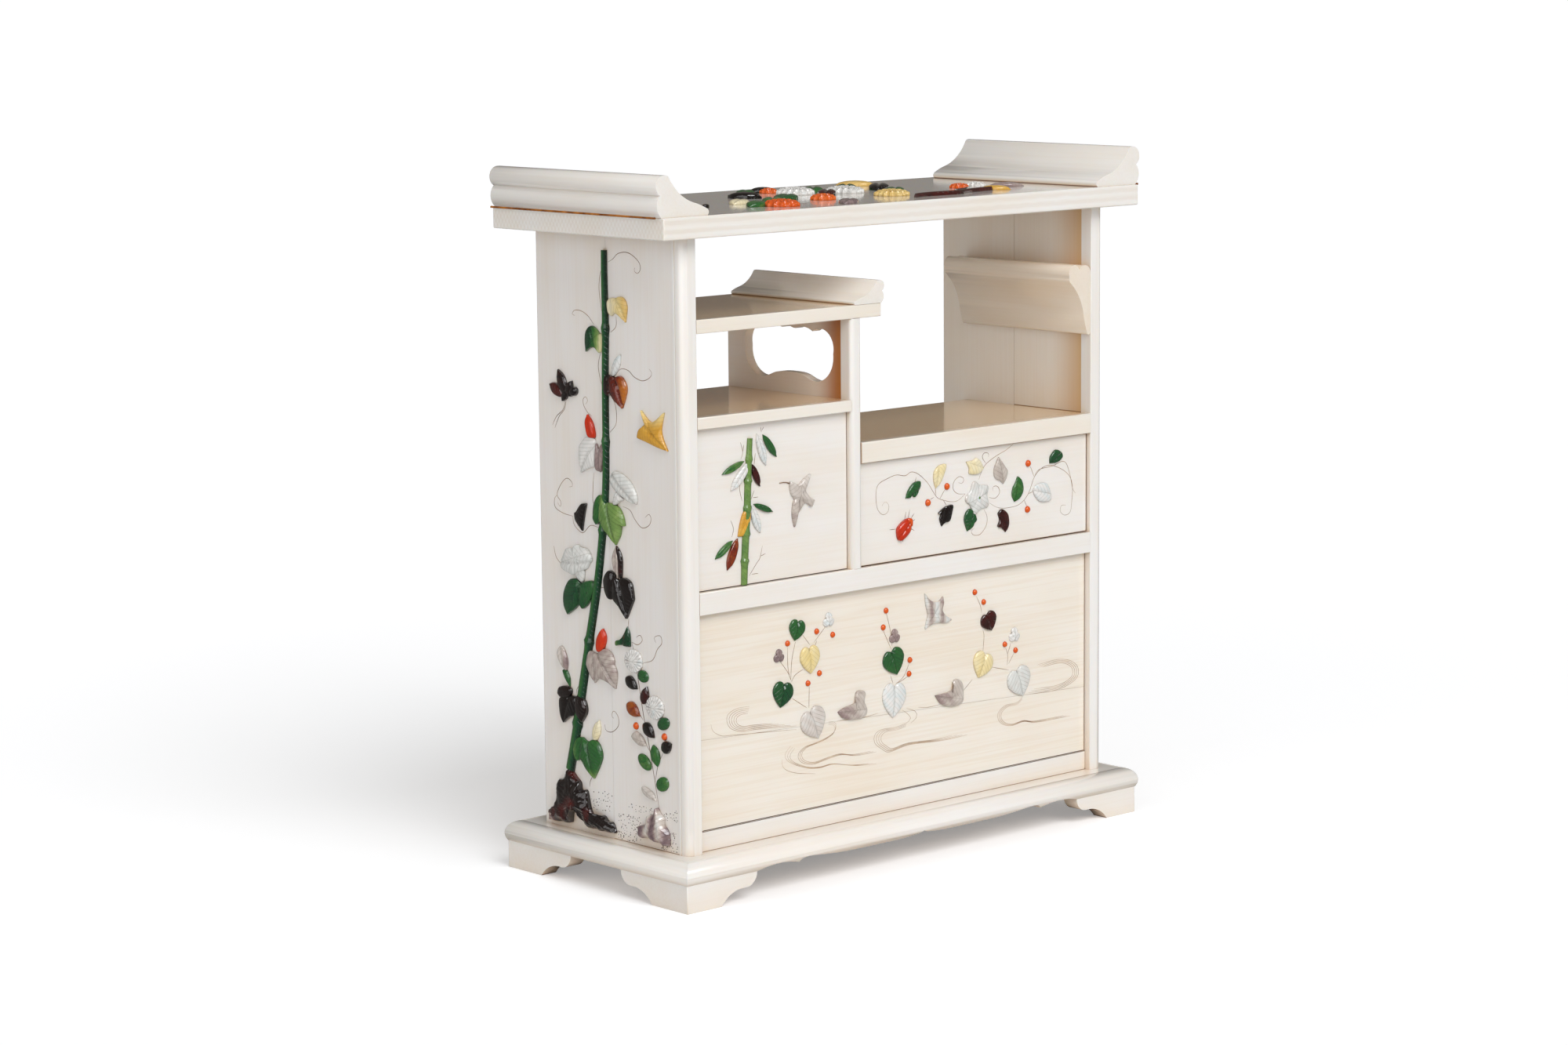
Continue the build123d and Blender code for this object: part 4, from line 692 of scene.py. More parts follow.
    carve(pearl, [(27.2, 35.8), (28.8, 33.6), (30.7, 32.4), (30.9, 29.6), (32.6, 28), (33.8, 26), (34, 21.8),
        (28, 22), (24, 23.2), (19, 22.8), (15.6, 23.8), (16.8, 27), (20.2, 28.4), (22, 31.6), (24.6, 33)],
        2.6, (0, 6, 10), lambda p: 0.3 + 0.3 * math.sin(p.x * 0.9), count=96, rings=10, relief=crag, rim=0.3)

    # Coral buds and berries, and the yellow bird and leaf of blond horn.
    carve(red, [(-11.6, 185.6), (-9.3, 183.4), (-7.9, 180.9), (-7.3, 177), (-10.9, 176.8), (-12.3, 180),
        (-12.7, 183)], 1.5, (0,), 0.35, count=40, rings=6, creases=((0.3, ((-11.2, 184.5), (-9.4, 178))),))
    carve(red, [(-4.3, 102.1), (-2.4, 99.3), (-3.1, 95.7), (-4.9, 93), (-7.8, 92.8), (-7.9, 96.9),
        (-6.1, 100.4)], 1.6, (0,), 0.4, count=40, rings=6)
    for middle in ((14.4, 66.1), (31.2, 64.2)):
        bead(red, middle, 1.5, 1.2, 0.62)
    carve(yellow, [(35.8, 175.4), (29.6, 176.4), (23.4, 177.9), (18, 179), (19, 182), (22.2, 184.8),
        (20.3, 190), (25, 186.2), (28.2, 186.2), (34, 190), (32.2, 183.4), (33.2, 179.6)], 1.5, (0, 3, 6, 9),
        lambda p: 0.3 + 0.055 * max(0.0, p.y - 183), count=96, rings=10, middle=(27.4, 182), creases=((0.35,
        ((22.4, 184.6), (27.5, 181), (34.6, 176.4))), (0.3, ((32, 183.6), (27.5, 181), (24.5, 186)))))
    carve(yellow, [(12, 222.9), (8.7, 225), (5.9, 226), (3.9, 224.7), (2, 226), (1.3, 229.7), (2.8, 231.6),
        (5.7, 231.9), (9.2, 232.6), (11.6, 231.6), (12.9, 229), (12.6, 226.3)], 1.3, (0, 3),
        lambda p: 0.92 - 0.05 * max(0, p.x - 4), count=72, rings=8, base=(6, 232), creases=((0.5,
        ((5.8, 231.8), (9.8, 228.6), (11.8, 224))), (0.3, ((3.4, 231), (3.9, 225.5)))))
    leaf(yellow, (-7.6, 65.2), (-11, 56.2), 4.4, 1.0, 0.92)

    # Engraved tendrils, twigs and stems, the butterfly's feelers, and the ground.
    for line in (
            [(1.6, 245.4), (4.4, 246.7), (7.7, 249), (12.5, 249.7), (16.4, 248.6), (19.9, 246.3),
                (20.7, 243.8),
             (19.1, 242), (17.1, 242.8), (17.5, 244.1)],
            [(-7.6, 220.8), (-10.7, 223.7), (-14.8, 225.5), (-18.9, 225.6), (-20.6, 224.1), (-18.9, 223.5)],
            [(6.6, 203.6), (9, 204.9), (13, 204.3), (16.2, 202.2), (20.9, 201.1), (24.9, 202.4),
                (26.5, 204.3), (25, 206)],
            [(-9.5, 185), (-11.7, 185.9), (-14.1, 188.3), (-14.9, 190.9), (-13.2, 192.3), (-12, 190.8),
                (-13.3, 189.4)],
            [(5.9, 224.8), (5.8, 220.9), (2.5, 218.4)], [(1.5, 194.3), (4.7, 190.4), (5.1, 183.6),
                (1.2, 179.6)],
            [(-31.6, 152), (-33.4, 150.3), (-33, 146.9), (-28.1, 145.1), (-22.3, 144.5)],
            [(-31.6, 149), (-29.8, 147.4), (-29.6, 149.6), (-31.8, 151.8), (-30.6, 154.7), (-28.2, 157.6),
                (-25.5, 159.2),
             (-22.8, 158.2), (-22.2, 156.4), (-24.2, 155.9)],
            [(-22.3, 144.5), (-21.5, 141.2), (-17.6, 138.7), (-15.3, 139), (-11.3, 142), (-5.5, 141.4)],
            [(8.2, 151.4), (12.5, 150.4), (15.1, 147.3), (19.3, 144.3), (23.6, 145.6), (24.9, 148.3),
                (23.7, 150), (21.5, 148.5)],
            [(-34.4, 131.4), (-33.1, 127.2), (-29.6, 124.4)], [(12.4, 98.9), (15.9, 98.2), (18.7, 100.3),
                (17.4, 102.2), (15.1, 101)],
            [(19.4, 91.6), (24.7, 93.4), (27.5, 97.9), (30.2, 100.6), (29.4, 103.4), (25.8, 102.4),
                (26.7, 100.4)],
            [(-4.8, 63.9), (-3.9, 61.6), (-0.2, 61.6), (3.5, 64.5), (3.5, 68.1), (0.9, 70.1), (-0.5, 68.1),
                (0.8, 67.1)],
            [(-2.2, 147), (-9.2, 150.4), (-9.6, 157), (-8.8, 163)], [(10.8, 107.8), (10.4, 104.6)],
            [(-12, 43), (-14.2, 39.8), (-14.6, 37.4)], [(-19, 78), (-21.4, 76), (-22, 73.4)],
            [(-9.8, 117), (-6.6, 117.8), (-3, 118.6)], [(-2.6, 226), (-4, 234), (-3.4, 240), (-1.6, 243.6)],
            [(-3.6, 210.4), (-5.2, 205), (-3.8, 199), (-1.8, 196)]):
        scratch(lines, line)
    for line, width in (
            ([(12.4, 98.9), (13.4, 95.5), (15.1, 88), (16.5, 81.7), (18.9, 70.3), (21.4, 61.2), (24.6, 47.5),
                (27.2, 35.9)], 0.4),
            ([(-25.7, 189.5), (-27.2, 186.1), (-31.2, 183.2), (-33.9, 179.5)], 0.3),
            ([(-25.3, 189.5), (-26.4, 186.2), (-29.6, 183.3), (-32.4, 178.5)], 0.3),
            ([(16.6, 71), (18.4, 69)], 0.3), ([(20.4, 59.4), (22, 57.4)], 0.3), ([(30.2, 57.8), (27, 52.4),
                (25.2, 45.6)], 0.3),
            ([(29, 22.4), (29.6, 19.8)], 0.5)):
        scratch(lines, line, width, 0.3)
    grit = random.Random(7)
    for low, high, number in (((-35, 27), (-30, 32), 14), ((-14, 29), (-1, 37), 46),
            ((2, 19.6), (16, 30), 110),
                              ((9, 31.5), (23, 35), 26), ((29, 31), (38, 36), 30),
                                  ((28, 19.6), (38, 27), 70)):
        for _ in range(number):
            place = (grit.uniform(low[0], high[0]), grit.uniform(low[1], high[1]))
            size = grit.uniform(0.2, 0.45)
            rod(lines, [place, (place[0] + size, place[1])], (size, size), 0.05, 0.0, sides=6, stations=3,
                sink=0.03)

    lay("side", side_panel, "case",
        ("carved_bone", green, "side_vine_inlay"),
        ("carved_tortoiseshell", dark, "side_dark_inlay"),
        ("carved_shell", pearl, "side_shell_inlay"),
        ("carved_coral", red, "side_coral_inlay"),
        ("carved_horn", yellow, "side_horn_inlay"),
        ("engraved_lines", lines))


# ---------------------------------------------------------------- door: bamboo and a hovering bird
def door_ornament():
    green, pearl, dark, yellow, lines = (Inlay() for _ in range(5))
    # A little painted shade darkens one flank of the bamboo.
    rod(green, [(-83.6, 120.9), (-83.1, 131), (-82.4, 140.7), (-81.6, 150), (-81.1, 161.2), (-80.5, 169.5),
        (-79.9, 177.6)], (3.0, 3.4, 3.5, 3.4, 3.3, 2.9, 2.4), 1.4, sides=14, stations=56, shade=0.66,
        joints=(0.16, 0.35, 0.52, 0.71, 0.86), shaded_flank=0.12)
    for tip, butt, width, group, shade in (
            ((-66.2, 169), (-73.2, 178.4), 3.1, green, 0.42), ((-94.4, 164.8), (-83, 169), 2.6, green, 0.55),
            ((-68.3, 147.8), (-78.3, 151.8), 2.5, green, 0.42), ((-98.4, 132.5), (-89.4, 138.8), 2.9, green,
                0.5),
            ((-71.8, 166.2), (-76.4, 179), 3.5, pearl, 0.9), ((-90, 158), (-80, 168.6), 4.0, pearl, 0.88),
            ((-75, 140.1), (-80, 151.8), 3.6, pearl, 0.9), ((-75, 158.3), (-79.4, 167.8), 3.0, dark, 0.5),
            ((-92.3, 127.5), (-86.8, 139.4), 4.0, dark, 0.82)):
        along = Vector(butt) - Vector(tip)
        side = Vector((-along.y, along.x)).normalized()
        carve(group, almond(tip, butt, width, 0.45), 1.01, (0, 4), shade, count=40, rings=6, creases=((0.25,
            (tuple(Vector(tip) + along * 0.1), tuple(Vector(butt) - along * 0.1 + side * 0.1))),))
    carve(yellow, [(-86.6, 140), (-85.8, 143.9), (-84.2, 148.4), (-81.8, 151), (-80.2, 149.2), (-80.6, 145),
        (-82.4, 142.4), (-84.2, 139.9)], 1.1, (0, 3, 7), 0.3, count=40, rings=6,
        creases=((0.3, ((-81.6, 150), (-85.6, 141))),))
    carve(pearl, [(-57.2, 140.6), (-58.3, 145.2), (-57.9, 149.8), (-57.2, 151.6), (-58.8, 153.7),
        (-59.5, 156.6), (-59.2, 158.7), (-57.2, 158), (-54.8, 157), (-52.3, 158.9), (-48.3, 160.8),
        (-49.6, 158), (-51.2, 154.4), (-48.7, 151.4), (-46.3, 150.2), (-47.8, 147.6), (-51.3, 149.4),
        (-54.2, 147.1), (-56.4, 144)], 1.3, (0, 6, 10, 14, 15), lambda p: 0.42 + 0.012 * (p.y - 150),
        creases=((0.45, ((-58, 152), (-54, 150.6), (-50, 149.6))), (0.35, ((-55, 156.5), (-52, 153)))),
        middle=(-54.6, 152.6), count=96, rings=9)
    bead(lines, (-57, 156.6), 0.45, 1.5, 0.0)
    rod(lines, [(-58.9, 157.8), (-61.6, 158.6), (-64.6, 158.6)], (0.5, 0.2), 0.5, 0.3, stations=6)
    for line in ([(-84.4, 169.9), (-83.4, 172.5), (-84.6, 176.4)], [(-83.4, 172.5), (-82.8, 175.3)],
                 [(-73.7, 179.3), (-74, 181.4)], [(-73.4, 180), (-72.4, 181.3)],
                     [(-79.7, 153.1), (-77.7, 157.1)],
                 [(-78.4, 154.3), (-75.6, 154.3)], [(-89.5, 140.1), (-88.6, 143.3), (-90, 146.7)],
                 [(-80.7, 124.1), (-76.9, 128.4), (-75, 130.5), (-73.7, 135.1)], [(-75, 131), (-72.1, 131.8)],
                 [(-79.4, 124.5), (-76, 124.5)], [(-77.6, 166.9), (-76.9, 171.5)], [(-84.5, 162),
                     (-85.2, 158.3), (-84, 153.5)]):
        scratch(lines, line, 0.26)
    lay("door", door_panel, "door",
        ("carved_bone", green, "door_bamboo_inlay"),
        ("carved_shell", pearl, "door_bird_inlay"),
        ("carved_tortoiseshell", dark),
        ("carved_horn", yellow),
        ("engraved_lines", lines))


# ---------------------------------------------------------------- drawer: flowering vine and a beetle
def drawer_ornament():
    green, pearl, dark, red, yellow, lines = (Inlay() for _ in range(6))
    for group, shade, tip, outline in (
            (green, 0.4, (2.8, 145.6), [(4, 148.6), (7, 151.4), (10.9, 151.8), (10.6, 148.6), (9.1, 146.6),
                (7.4, 145.6), (6.2, 146.8), (5.2, 145.6)]),
            (yellow, 0.85, (19.7, 148), [(18.5, 151.4), (18.9, 155), (21.4, 157.1), (25.4, 157.3),
                (24.5, 153.9), (22.3, 150.2)]),
            (dark, 0.12, (23, 132.1), [(21.7, 135.2), (22.4, 137), (21, 137.8), (24.8, 140), (29.2, 140.4),
                (28.9, 137.5), (27.4, 133.9), (24.7, 133.4)]),
            (yellow, 0.9, (47.2, 153.6), [(44.1, 151.5), (38.9, 152), (38.7, 154.3), (37, 157.1),
                (41.1, 157.3), (42.8, 158.2), (45, 156.8)]),
            (green, 0.34, (37.6, 128.5), [(35.8, 133.1), (36.6, 136.1), (38.9, 137.7), (41.5, 136.3),
                (43, 132.9), (41.5, 131.4), (40.6, 130)]),
            (pearl, 0.4, (55.9, 157.2), [(59, 153.5), (60.9, 150.9), (59.9, 147.8), (58.5, 145.9),
                (56.7, 147.4), (53.6, 149), (53.1, 152.2), (54.5, 155.3)]),
            (dark, 0.5, (59.8, 125.8), [(57.4, 127.7), (55.2, 128.6), (56.2, 131.2), (55.2, 134),
                (57.6, 135.6), (60.8, 133.6), (61.8, 130.3), (61.3, 127.7)]),
            (green, 0.46, (65.1, 137.8), [(63.6, 140.6), (64.1, 143.7), (65.5, 145.5), (66.9, 148.3),
                (69.2, 146.4), (70.2, 142.5), (68.4, 139.3)]),
            (pearl, 0.9, (76, 141.5), [(78.2, 143.6), (83.9, 143.6), (86.7, 138.9), (86.2, 136.2),
                (80.6, 136.3), (77.3, 138.8)]),
            (green, 0.3, (86, 151.6), [(86.3, 154.7), (89.6, 157.1), (93.4, 155.6), (93.4, 153.5),
                (90.5, 151.8)])):
        points = [tip] + outline
        far = points[len(points) // 2]
        carve(group, points, 1.0, (0, len(points) // 2), shade, count=48, rings=7, base=far, creases=((0.3,
            (tuple(Vector(tip).lerp(Vector(far), 0.08)), tuple(Vector(tip).lerp(Vector(far), 0.92)))),))
    # The open flower: five notched petals with a turquoise heart.
    middle = Vector((43.7, 141.8))
    flower = []
    for k in range(30):
        angle = math.tau * (k / 30 + 0.05)
        reach = 7.4 - 2.1 * abs(math.cos(2.5 * angle)) ** 1.4
        flower.append((middle.x + reach * math.cos(angle), middle.y + reach * 0.98 * math.sin(angle)))
    carve(pearl, flower, 1.0, (), lambda p: 0.95 - 0.05 * (p.xy - middle).length, count=90, rings=9,
        relief=rows(0.3, 5, 4.0, 0.25))
    bead(green, (43.8, 141.8), 1.1, 1.6, 0.62)
    carve(red, [(-2.4, 131.6), (-2.2, 134.2), (0.9, 136.6), (4, 137.6), (5.9, 137.1), (5.9, 134.5),
        (4.1, 131.5), (0.6, 129.1), (-1.5, 129.3)], 1.6, (), lambda p: 0.3 + 0.25 * (p.x > 3.4), count=48,
        rings=8, creases=((0.35, ((4, 135.6), (-1.8, 130.4))), (0.4, ((3, 137), (5.4, 133.6)))),
        crease_width=0.4)
    for middle in ((26.2, 148.1), (15.4, 142.6), (73.3, 152.9), (72.9, 133.8)):
        bead(red, middle, 1.45, 1.2, 0.62)
    for line in (
            [(36.8, 144), (32.5, 141.7), (28.2, 141.7), (22.2, 143.4), (19.7, 145.2), (15.5, 150.5),
                (10.4, 154.6), (6.2, 156),
             (2.9, 154.8), (-2.1, 155.6), (-7.1, 154.6), (-12.1, 152.7), (-13.4, 148.6), (-12.6, 143.1),
                 (-9.7, 140.4),
             (-6.8, 141.3), (-6.4, 144), (-8.4, 145.4), (-10.1, 144)],
            [(36.8, 144), (32.5, 144.5), (29.9, 146.6), (30.3, 149.6), (33.3, 151.4), (35.9, 150.3),
                (35.1, 148.5), (32.9, 149)],
            [(50.6, 138.9), (55, 136.6), (60.3, 135.7), (68.2, 136.4), (73.5, 140.2), (77.1, 146.8),
                (81.5, 150.1), (86.9, 150.8),
             (94.1, 148.2), (98.6, 144.6), (100, 140), (99.6, 134.4), (98.7, 130.1), (95.5, 129),
                 (92.8, 130.7),
             (93.2, 133.2), (96, 133.2)],
            [(77.1, 146.8), (79.7, 149.6), (87.8, 150.4), (95, 151.6), (98.2, 146.5), (100, 140),
                (101.8, 137.6)],
            [(44.6, 149.1), (46.3, 152.3), (48.9, 155.1), (55, 157.9), (60.3, 159.6), (64.7, 161.8)],
            [(48.9, 155.1), (46.7, 157.8), (47.6, 159.6), (50.2, 159.3), (50.2, 157.8)],
            [(50.6, 141.1), (54.1, 140.4), (56.7, 142.6), (55.4, 145.2), (52.8, 145.2), (52.8, 143.6)],
            [(47.6, 136.4), (49.3, 133.5), (48.9, 129.8), (45.4, 126.5), (41.5, 126.6), (40.2, 128.3),
                (41.9, 129.3)],
            [(20.1, 145.1), (19.7, 148.2)], [(18.8, 144.4), (16.7, 143.7)], [(22.2, 143.4), (25.2, 147)],
            [(24, 143), (26, 140.4)], [(9, 153.6), (8, 150.8)], [(71, 138), (72.6, 135.2)],
            [(77.1, 146.8), (74.8, 151.4)], [(73.5, 140.2), (76.4, 140.9)]):
        scratch(lines, line, 0.27, 0.5)
    for line in ([(2.4, 137.1), (3.2, 140.2)], [(4.4, 137.4), (5.3, 140.9)], [(6, 137.3), (7.8, 139.1)],
            [(-2.3, 133.8), (-6, 133.9)],
                 [(5.9, 135.6), (8.2, 136.6)], [(5.5, 133.3), (7.8, 132.1)], [(2.6, 130.1), (1, 128.3)]):
        scratch(lines, line, 0.26, 0.3)
    lay("drawer", drawer_panel, "drawer",
        ("carved_bone", green, "drawer_leaf_inlay"),
        ("carved_shell", pearl, "drawer_flower_inlay"),
        ("carved_tortoiseshell", dark),
        ("carved_coral", red, "drawer_beetle_inlay"),
        ("carved_horn", yellow),
        ("engraved_lines", lines))


# ---------------------------------------------------------------- large drawer: ducks on a stream
def heart(inlay, tip, notch, width, shade):
    """A heart-shaped leaf from its tip to the notch at its stalk."""
    tip, notch = Vector(tip), Vector(notch)
    along = notch - tip
    side = Vector((-along.y, along.x)).normalized() * width / 2
    shares = ((0, 0), (0.28, 0.62), (0.62, 1), (0.95, 0.86), (1.1, 0.42), (1, 0))
    right = [tip + along * a + side * b for a, b in shares]
    left = [tip + along * a - side * b for a, b in shares[-2:0:-1]]
    folds = [(0.35, (tuple(tip + along * 0.1), tuple(tip + along * 0.98)))]
    for b in (0.55, -0.55):
        folds.append((0.18, (tuple(tip + along * 0.95), tuple(tip + along * 0.55 + side * b))))
    carve(inlay, [tuple(p) for p in right + left], 1.1, (0, 5), shade, count=60, rings=8, creases=folds,
        base=tuple(notch))


def trefoil(inlay, middle, radius, shade):
    """A three-lobed floret."""
    outline = []
    for k in range(30):
        angle = math.tau * k / 30 + math.pi / 2
        reach = radius * (0.55 + 0.45 * abs(math.cos(1.5 * (angle - math.pi / 2))) ** 0.8)
        outline.append((middle[0] + reach * math.cos(angle), middle[1] + reach * math.sin(angle)))
    carve(inlay, outline, 0.8, (), shade, count=60, rings=6, relief=rows(0.25, 3, 3.0, 0.2))


def nested(lines, points, copies, gap):
    """Parallel engraved lines, each a little further towards the inside of the bend."""
    middle = sum((Vector(p) for p in points), Vector((0, 0))) / len(points)
    for k in range(copies):
        share = 1 - k * gap
        scratch(lines, [tuple(middle + (Vector(p) - middle) * share) for p in points], 0.22, 0.62, 1.4)


def large_ornament():
    green, pearl, dark, red, yellow, lines = (Inlay() for _ in range(6))
    heart(green, (-57.2, 95.5), (-55.3, 102.9), 8.2, 0.42)
    heart(green, (-65.2, 69.9), (-63, 79), 10.6, 0.32)
    heart(yellow, (-48.8, 81.3), (-49.5, 91.4), 10.2, 0.72)
    heart(pearl, (-45, 54.9), (-49.2, 66), 13.2, 0.56)
    heart(pearl, (-4.1, 57.2), (-3, 70), 12.8, 0.9)
    heart(green, (-1.6, 74.5), (-4.6, 84.2), 11.6, 0.4)
    heart(dark, (52.6, 85.6), (49.8, 92.6), 9.0, 0.5)
    heart(yellow, (44.8, 66.9), (48.8, 76), 11.4, 0.78)
    heart(pearl, (71, 55.8), (67.4, 66.8), 13.4, 0.7)
    for middle, radius, shade in (((-65.6, 90.4), 2.9, 0.12), ((-39, 101.4), 3.1, 0.9),
            ((-2.8, 90.2), 3.1, 0.2),
                                  ((66, 82), 3.3, 0.86)):
        trefoil(pearl, middle, radius, shade)
    carve(pearl, [(14.1, 105.6), (17.6, 102.3), (21.7, 101.4), (24.4, 103.4), (24.8, 100.6), (24, 97.7),
        (25.9, 95.3), (29.5, 93.1), (26.2, 92.2), (20.4, 92.9), (16.3, 92), (14.2, 91), (15, 94.1),
        (15.8, 96.9), (14.6, 101.2)], 1.1, (0, 3, 7, 11), lambda p: 0.5 + 0.25 * math.sin(p.x), count=96,
        rings=8, middle=(19.8, 97), creases=((0.35, ((15.4, 103.5), (20, 97), (27.6, 93.6))), (0.3,
        ((15.2, 92.4), (20, 97), (23.6, 102)))))
    carve(pearl, [(-34.3, 63.8), (-32.4, 61.6), (-29.7, 60.3), (-24.6, 59.6), (-20, 60), (-18.5, 62.5),
        (-20, 66.2), (-19.5, 69.6), (-21.6, 70.9), (-24.2, 70.5), (-25, 68), (-25.2, 66.2), (-31.3, 65)], 1.2,
        (0,), lambda p: 0.35 + 0.02 * (p.x + 26), count=80, rings=8, middle=(-25.4, 63.4), creases=((0.4,
        ((-31, 63.2), (-26, 61.6), (-22.4, 63.4), (-24.4, 65.4))),))
    carve(pearl, [(19.8, 63), (21.4, 60.8), (23.6, 58.7), (27.6, 57.4), (31.9, 57.2), (35.4, 58.3),
        (35.9, 62), (35.2, 66.1), (32.4, 68.1), (29.9, 67.2), (30.6, 64.6), (26.9, 63.3)], 1.2, (0,),
        lambda p: 0.34 + 0.02 * (p.x - 28), count=80, rings=8, middle=(28.4, 61), creases=((0.4,
        ((22.4, 61.8), (27.4, 60), (31.8, 61.6), (29.6, 63.6))),))
    for middle in ((-60.9, 94.9), (-45.3, 97.7), (-36.7, 95.3), (-44, 80.8), (-50.2, 77.6), (-7.4, 101.3),
            (-9, 94.7),
                   (5.8, 79.5), (5.3, 73.9), (43, 102.7), (48.1, 98), (60.5, 78.8), (66.8, 75.5)):
        bead(red, middle, 1.25, 1.0, 0.62)
    for line in (
            [(-64.9, 88.3), (-60.8, 83.4), (-58.9, 79.7)], [(-60.8, 93.3), (-60.7, 85.2), (-59.3, 80.1)],
            [(-56.6, 95), (-58.6, 88), (-59.2, 80.4)], [(-52.6, 83.5), (-56.9, 81.8), (-58.9, 79.2)],
            [(-52.9, 97.4), (-49, 92.9)], [(-45.1, 94.1), (-46.3, 91.9)], [(-40.6, 98.9), (-46.8, 93.4)],
            [(-50.9, 67.9), (-58.6, 72.7)], [(-49.7, 67.7), (-49.4, 76.7)], [(-7.4, 101), (-5, 93), (-4, 86)],
            [(-9, 93.6), (-6, 88), (-4.4, 85)], [(-3.6, 71.2), (-5, 74.6)],
                [(-2, 71), (1.2, 71.6), (5.3, 73.2)],
            [(44, 100.9), (46.3, 96.7), (47, 93.7)], [(47.8, 86.3), (48.4, 83.8), (47.8, 77.6)],
                [(41.6, 66.6), (36.1, 62.5)],
            [(61.1, 77.3), (62.3, 74.1), (62, 69.9)], [(64.1, 78.8), (62.4, 74.7)],
                [(65.9, 74.3), (62.9, 70.4)],
            [(53, 70.2), (58.1, 68.9), (62.9, 67.7)], [(5.6, 78.4), (2.6, 73.4), (-1, 71.2)]):
        scratch(lines, line, 0.27, 0.5)
    # The stream: nested eddies, and water marks that run along the drawer.
    for copies, gap, line in (
            (5, 0.12, [(-56.4, 61.4), (-77.8, 63.1), (-84.7, 63.2), (-90.7, 65.2), (-92.9, 68.4),
                (-92.1, 71.2), (-87.5, 72.8), (-81.1, 72.7)]),
            (1, 0.1, [(-101.1, 68.5), (-100, 65.5), (-95.2, 63), (-89.9, 62.6), (-56.4, 60)]),
            (3, 0.06, [(-39.2, 60.7), (-35.3, 59.5), (-36.1, 56.1), (-41.6, 54), (-47.9, 52.9), (-52.6, 52.1),
                (-55.7, 49.7),
                       (-54.2, 46.6), (-48, 44.7), (-40.2, 45.6), (-32.3, 46.2), (-24.3, 44.7),
                           (-13.1, 44.5)]),
            (1, 0.1, [(-64.2, 49.2), (-63.5, 45.6), (-57.4, 42.7), (-46.5, 40.7)]),
            (3, 0.07, [(-13.1, 39.7), (-24.3, 40.6), (-36.2, 43), (-44.1, 42.7), (-51.9, 43.9), (-60.4, 47.5),
                (-62.7, 50.7), (-59.6, 53.8)]),
            (4, 0.08, [(4, 53.9), (-2.5, 53), (-9.8, 53.2), (-13.8, 51.7), (-13.9, 48.2), (-9.9, 45.2),
                (-5.8, 43.4), (5.4, 44.7),
                       (24.4, 43.7), (38.6, 44)]),
            (3, 0.07, [(71, 55.2), (67.6, 53.3), (60.7, 53), (56.4, 50), (58.1, 46.1), (64.1, 44),
                (71.9, 44.7), (79.7, 43.3), (99.9, 43.1)]),
            (4, 0.09, [(72.8, 55.9), (88.4, 55.3), (98.1, 56.4), (104.3, 59.3), (104.3, 63.6), (99.9, 66.7),
                (94.6, 68), (88.4, 68.2), (79.7, 67.5)]),
            (1, 0.1, [(1.4, 59.6), (4.7, 57.4), (6.3, 55.3), (3.8, 53.9)]), (1, 0.1, [(3.9, 59.9), (8.8, 58),
                (9.6, 55.5), (6.3, 53.5)]),
            (1, 0.1, [(-34.4, 60.4), (-20, 59.6), (-12, 60.2)]), (1, 0.1,
                [(10.6, 59.4), (16, 58.6), (23, 58.8)])):
        nested(lines, line, copies, gap)
    lay("large_drawer", large_panel, "large_drawer",
        ("carved_bone", green, "large_drawer_leaf_inlay"),
        ("carved_shell", pearl, "large_drawer_shell_inlay"),
        ("carved_tortoiseshell", dark),
        ("carved_coral", red, "large_drawer_berry_inlay"),
        ("carved_horn", yellow),
        ("engraved_lines", lines))


# ---------------------------------------------------------------- top board: a spray of chrysanthemums
def mum(inlay, middle, width, tall, shade, petals=16, turned=0.0, rise=2.4):
    """A full chrysanthemum head: rows of cupped petals round a raised heart."""
    outline = ring_outline(middle, width, tall, petals, 0.1, math.radians(turned), count=petals * 4)

    def cups(reach, turn, place):
        row = reach * 3.4
        petal = 0.5 + 0.5 * math.cos((turn * petals + 0.5 * int(row)) * math.tau)
        return 0.55 * (row - int(row)) - 0.5 * petal * min(1.0, reach * 2)

    carve(inlay, outline, rise * 0.65, (), shade, count=petals * 8, rings=14, relief=cups, rim=0.3)


